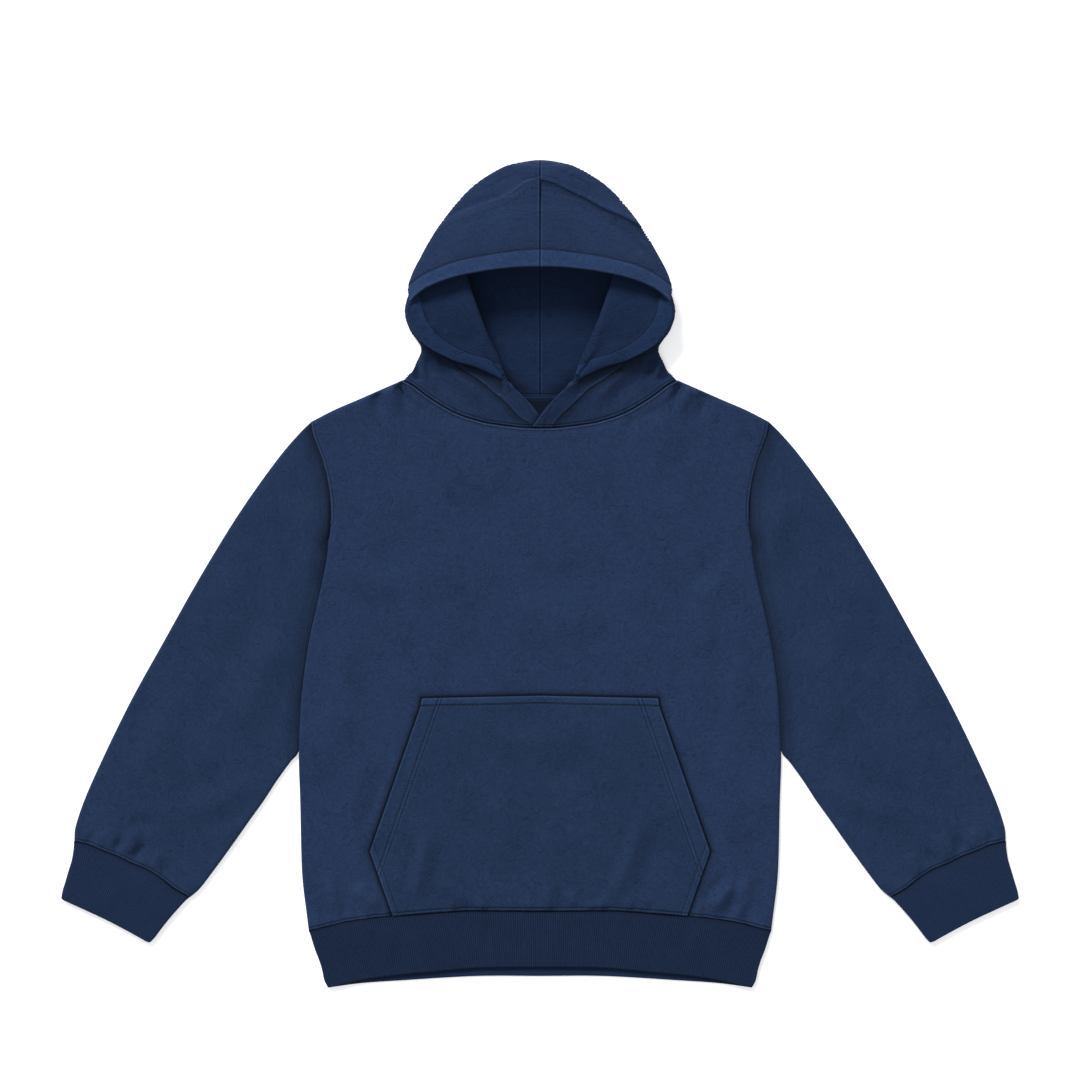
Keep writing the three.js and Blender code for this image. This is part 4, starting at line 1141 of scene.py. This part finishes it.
# the sleeves, pocket and hood take copies of the fleece a little darker than the body's: painted shade
sleeveCloth = clothMaterial("brushed sweatshirt fleece, sleeves", dict(fleece, shade="162642", light="223553"),
                            [("rootAway", 24, besideBodyShade), ("sideAway", 24, besideBodyShade), seamMark])
pocketFleece = clothMaterial("brushed sweatshirt fleece, pocket", dict(fleece, shade="152540", light="213452"),
                             pocketMarks)
hoodCloth = clothMaterial("brushed sweatshirt fleece, hood", dict(fleece, shade="152440", light="213352"),
                          hoodMarks)
hoodBack = clothMaterial("brushed fleece back, hood", fleeceBackShaded, hoodMarks)
backInside = clothMaterial("brushed fleece back, body", fleeceBackShaded, [("neckAway", 20, insideNeckShade)])
backCloth = clothMaterial("brushed fleece back", fleeceBackShaded)
cuffRib = clothMaterial("one by one rib knit, cuffs", rib, bandMarks)
# the hem band is a darker copy of the cuffs' rib, with more shade between its cords: painted shade
hemRibShaded = clothMaterial("one by one rib knit, hem band",
                       dict(rib, shade="101e38", light="182b49", cordShade=0.8), bandMarks)
sewingThread = plainMaterial("spun polyester thread", thread, thread["plySize"], 1.0, {
    "Roughness": thread["roughness"], "IOR": 1.5, "Specular IOR Level": 0.35})
opalTable = plainMaterial("opal light table", table, table["grainSize"], 2.0, {
    "Roughness": 0.9, "Specular IOR Level": 0.1, "Emission Strength": table["glow"],
    "Emission Color": (0.97, 0.98, 1.0, 1.0)})


def startTree(name, sockets):
    # a geometry tree, its input node, and the identifiers of its named inputs
    tree = bpy.data.node_groups.new(name, "GeometryNodeTree")
    tree.interface.new_socket("Geometry", in_out="OUTPUT", socket_type="NodeSocketGeometry")
    identifiers = {}
    for label, kind in {"Geometry": "Geometry", **sockets}.items():
        socket = tree.interface.new_socket(label, in_out="INPUT", socket_type="NodeSocket" + kind)
        identifiers[label] = socket.identifier
    return tree, addNode(tree, "NodeGroupInput").outputs, identifiers


def endTree(tree, geometry, material):
    real = addNode(tree, "GeometryNodeRealizeInstances", {0: geometry})
    dressed = addNode(tree, "GeometryNodeSetMaterial", {"Geometry": real, "Material": material})
    addNode(tree, "NodeGroupOutput", {"Geometry": dressed})


def ribTree():
    # the band's points sink between the cords, but not where it is sewn on
    tree, given, identifiers = startTree("rib cords", {"Rib Depth": "Float", "Cloth": "Material"})
    phase = addNode(tree, "GeometryNodeInputNamedAttribute", {"Name": "ribPhase"}, data_type="FLOAT")
    crest = calculate(tree, "POWER", cordWave(tree, phase), 0.55)
    sink = calculate(tree, "MULTIPLY", calculate(tree, "SUBTRACT", crest, 1.0), given["Rib Depth"])
    fromSeam = addNode(tree, "GeometryNodeInputNamedAttribute", {"Name": "seamAway"}, data_type="FLOAT")
    eased = calculate(tree, "MULTIPLY", sink, calculate(tree, "MINIMUM", fromSeam, 1.0))
    normal = addNode(tree, "GeometryNodeInputNormal")
    offset = addNode(tree, "ShaderNodeVectorMath", {0: normal, "Scale": eased}, operation="SCALE")
    moved = addNode(tree, "GeometryNodeSetPosition", {"Geometry": given["Geometry"], "Offset": offset})
    endTree(tree, moved, given["Cloth"])
    return tree, identifiers


def stitchTree():
    # short rounded threads set along a path
    tree, given, identifiers = startTree("lockstitches", {
        "Stitch Pitch": "Float", "Stitch Length": "Float", "Thread Width": "Float",
        "Thread Height": "Float", "Seed": "Int", "Thread": "Material"})
    path = addNode(tree, "GeometryNodeMeshToCurve", {"Mesh": given["Geometry"]})
    points = addNode(tree, "GeometryNodeCurveToPoints", {"Curve": path, "Length": given["Stitch Pitch"]},
                     mode="LENGTH")
    seat = addNode(tree, "FunctionNodeAlignEulerToVector", {"Vector": points.outputs["Tangent"]}, axis="X")
    jitter = addNode(tree, "FunctionNodeRandomValue",
                     {0: (-0.06, -0.06, -0.06), 1: (0.06, 0.06, 0.06), "Seed": given["Seed"]},
                     data_type="FLOAT_VECTOR")
    turned = addNode(tree, "FunctionNodeRotateEuler", {0: seat, "Rotate By": jitter})
    bead = addNode(tree, "GeometryNodeMeshUVSphere", {"Segments": 6, "Rings": 4, "Radius": 0.5})
    size = addNode(tree, "ShaderNodeCombineXYZ",
                   {0: given["Stitch Length"], 1: given["Thread Width"], 2: given["Thread Height"]})
    shaped = addNode(tree, "GeometryNodeTransform", {"Geometry": bead, "Scale": size})
    smooth = addNode(tree, "GeometryNodeSetShadeSmooth", {"Geometry": shaped})
    row = addNode(tree, "GeometryNodeInstanceOnPoints",
                  {"Points": points.outputs["Points"], "Instance": smooth, "Rotation": turned})
    endTree(tree, row, given["Thread"])
    return tree, identifiers


def bakeNodes(piece, tree, values):
    # runs the tree on the piece once and keeps the result as its plain mesh
    modifier = piece.modifiers.new("shape", "NODES")
    modifier.node_group = tree
    for identifier, value in values.items():
        modifier[identifier] = value
    depsgraph = bpy.context.evaluated_depsgraph_get()
    depsgraph.update()
    baked = bpy.data.meshes.new_from_object(
        piece.evaluated_get(depsgraph), preserve_all_data_layers=True, depsgraph=depsgraph)
    piece.modifiers.remove(modifier)
    old = piece.data
    piece.data = baked
    bpy.data.meshes.remove(old)
    return piece


# Each piece: how it is made, and the cloth of its face and of its back
print("cloth")
pieces = {}
for name, make, given, face, back in (
    ("clothFront", makeBodyPanel, (frontNeckLine, True), frontCloth, backCloth),
    ("clothBack", makeBodyPanel, (backNeckLine, False), panelCloth, backInside),
    ("clothSleeveLeft", makeSleeve, (1,), sleeveCloth, backCloth),
    ("clothSleeveRight", makeSleeve, (-1,), sleeveCloth, backCloth),
    ("clothHoodLeft", makeHoodPanel, (1,), hoodCloth, hoodBack),
    ("clothHoodRight", makeHoodPanel, (-1,), hoodCloth, hoodBack),
    ("clothPocket", makePocket, (), pocketFleece, backCloth),
):
    pieces[name] = make(name, *given)
    pieces[name].data.materials[0] = face
    pieces[name].data.materials[1] = back

print("ribs")
ribNodes, ribSockets = ribTree()
for name, make, given, knit in (
    ("ribCuffLeft", makeCuff, (1,), cuffRib),
    ("ribCuffRight", makeCuff, (-1,), cuffRib),
    ("ribHemBand", makeHemBand, (), hemRibShaded),
):
    pieces[name] = make(name, *given)
    bakeNodes(pieces[name], ribNodes, {
        ribSockets["Rib Depth"]: bands["ribHeight"] * mm, ribSockets["Cloth"]: knit})

replaced = {
    "clothFront": "front_body", "clothBack": "back_body", "clothSleeveLeft": "sleeve_left",
    "clothSleeveRight": "sleeve_right", "ribCuffLeft": "cuff_left", "ribCuffRight": "cuff_right",
    "ribHemBand": "hem_band", "clothHoodLeft": "hood_left", "clothHoodRight": "hood_right",
    "clothPocket": "pocket",
}
for name, node in replaced.items():
    piece = pieces[name]
    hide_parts(node)
    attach(piece, "root")
    print(name, len(piece.data.polygons), "faces")

# Stitches, in mm; their lines are dropped on to the cloth from above
print("stitching")
stitching = {"pitch": 3.3, "length": 2.7, "width": 0.75, "height": 0.6, "sink": 0.1}


def beside(points, inset):
    # a copy of a line, moved to its left by the given distance
    pts = smoothLine(points)(np.linspace(0, 1, 80))
    d = np.gradient(pts, axis=0)
    normal = np.stack([-d[:, 1], d[:, 0]], -1)
    return pts + normal / np.linalg.norm(normal, axis=1, keepdims=True) * inset


frontLines = [beside(armhole, inset) for armhole, inset in zip(bothSides(armholeLine), (-3.2, 3.2))]
frontLines += [beside(wholeLine(frontNeckLine), inset)[2:-2] for inset in (-3.4, -5.8)]
pocketLines = []
for flip in (np.array([1, 1]), np.array([-1, 1])):
    for inset in pocketCloth["slantStitches"]:
        pocketLines.append(beside([(209, -354), (138.2, -152)], inset) * flip)
    pocketLines.append(beside(pocketSideLine, pocketCloth["sideStitch"])[3:-3] * flip)
pocketLines.append(beside(wholeLine(pocketTopLine), -pocketCloth["topStitch"])[2:-2])
brimStitch = [(144, 344), (130, 352), (109, 360), (94, 363), (75, 366), (53, 371), (30, 373.5), (2, 375)]
lapelStitch = [(146, 318), (142, 309), (135, 297), (124, 287), (109, 275), (94, 265), (79, 257), (67, 251),
               (56, 244)]
hoodStitches = [
    brimStitch, mirrorPoints(brimStitch), mirrorPoints(lapelStitch), lapelStitch,
    [(-92, 240), (-70, 226), (-60, 218), (-51, 210), (-43, 204), (-36, 197), (-30, 190), (-23, 183),
     (-18, 179)],
    [(92, 240), (70, 226), (56, 216), (48, 208), (38, 199), (30, 191), (24, 186), (19, 180), (15, 175)],
    [(5, 187), (7, 181), (10, 174)],
]
hoodLines = [smoothLine(points)(np.linspace(0, 1, 90)) for points in hoodStitches]


def surfaceBelow(targets):
    trees = []
    for target in targets:
        mesh = target.data
        mesh.calc_loop_triangles()
        corners = [tuple(triangle.vertices) for triangle in mesh.loop_triangles]
        trees.append(BVHTree.FromPolygons([v.co for v in mesh.vertices], corners))

    def height(x, y):
        hits = [tree.ray_cast(Vector((x * mm, y * mm, 0.2)), Vector((0, 0, -1))) for tree in trees]
        tops = [hit[0].z for hit in hits if hit[0] is not None]
        return max(tops) / mm if tops else None

    return height


stitchNodes, stitchSockets = stitchTree()


def sewLines(name, lines, targets, sizes):
    height = surfaceBelow([pieces[target] for target in targets])
    points, edges = [], []
    for line in lines:
        last = None
        for x, y in line:
            z = height(x, y)
            if z is None or (last is not None and abs(z - points[last][2] / mm) > 6):
                last = None
                continue
            points.append((x * mm, y * mm, (z - sizes["sink"]) * mm))
            if last is not None:
                edges.append((last, len(points) - 1))
            last = len(points) - 1
    mesh = bpy.data.meshes.new(name)
    mesh.from_pydata(points, edges, [])
    piece = bpy.data.objects.new(name, mesh)
    bpy.context.scene.collection.objects.link(piece)
    bakeNodes(piece, stitchNodes, {
        stitchSockets["Stitch Pitch"]: sizes["pitch"] * mm,
        stitchSockets["Stitch Length"]: sizes["length"] * mm,
        stitchSockets["Thread Width"]: sizes["width"] * mm,
        stitchSockets["Thread Height"]: sizes["height"] * mm,
        stitchSockets["Seed"]: 5,
        stitchSockets["Thread"]: sewingThread,
    })
    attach(piece, "root")
    print(name, len(piece.data.polygons), "faces")


sewLines("stitchesFront", frontLines, ["clothFront"], stitching)
sewLines("stitchesPocket", pocketLines, ["clothPocket"], stitching)
sewLines("stitchesHood", hoodLines, ["clothHoodLeft", "clothHoodRight"], stitching)

# The table's top lies 0.3 mm under the cloth, so that the two don't fight
print("studio")
bpy.ops.mesh.primitive_plane_add(size=12, location=(0, 0, -0.3 * mm))
floor = bpy.context.object
floor.name = "studioFloor"
floor.data.materials.append(opalTable)

world = bpy.data.worlds.new("studio")
bpy.context.scene.world = world
world.use_nodes = True
background = world.node_tree.nodes["Background"].inputs
background["Color"].default_value, background["Strength"].default_value = (1, 1, 1, 1), 0.45


def farLight(name, azimuth, elevation, spread, strength):
    # a large softbox so far off that it lights the whole cloth alike; degrees
    light = bpy.data.lights.new(name, "SUN")
    light.energy, light.angle = strength, math.radians(spread)
    lamp = bpy.data.objects.new(name, light)
    bpy.context.scene.collection.objects.link(lamp)
    a, e = math.radians(azimuth), math.radians(elevation)
    toward = Vector((math.cos(a) * math.cos(e), math.sin(a) * math.cos(e), math.sin(e)))
    lamp.rotation_euler = toward.to_track_quat("Z", "Y").to_euler()


farLight("keyLight", 116, 39, 18, 3.0)
farLight("fillLight", 250, 60, 40, 0.3)

# the lens and the chip's width in mm; the width it frames at the table and its middle in metres
view = {"lens": 120, "chip": 36, "frameWidth": 1.2528, "centreY": 0.0406}
camera = bpy.data.cameras.new("camera")
camera.lens, camera.sensor_width = view["lens"], view["chip"]
cameraObject = bpy.data.objects.new("camera", camera)
bpy.context.scene.collection.objects.link(cameraObject)
cameraObject.location = (0, view["centreY"], view["frameWidth"] * view["lens"] / view["chip"])
bpy.context.scene.camera = cameraObject
bpy.context.scene.view_settings.view_transform = "Standard"
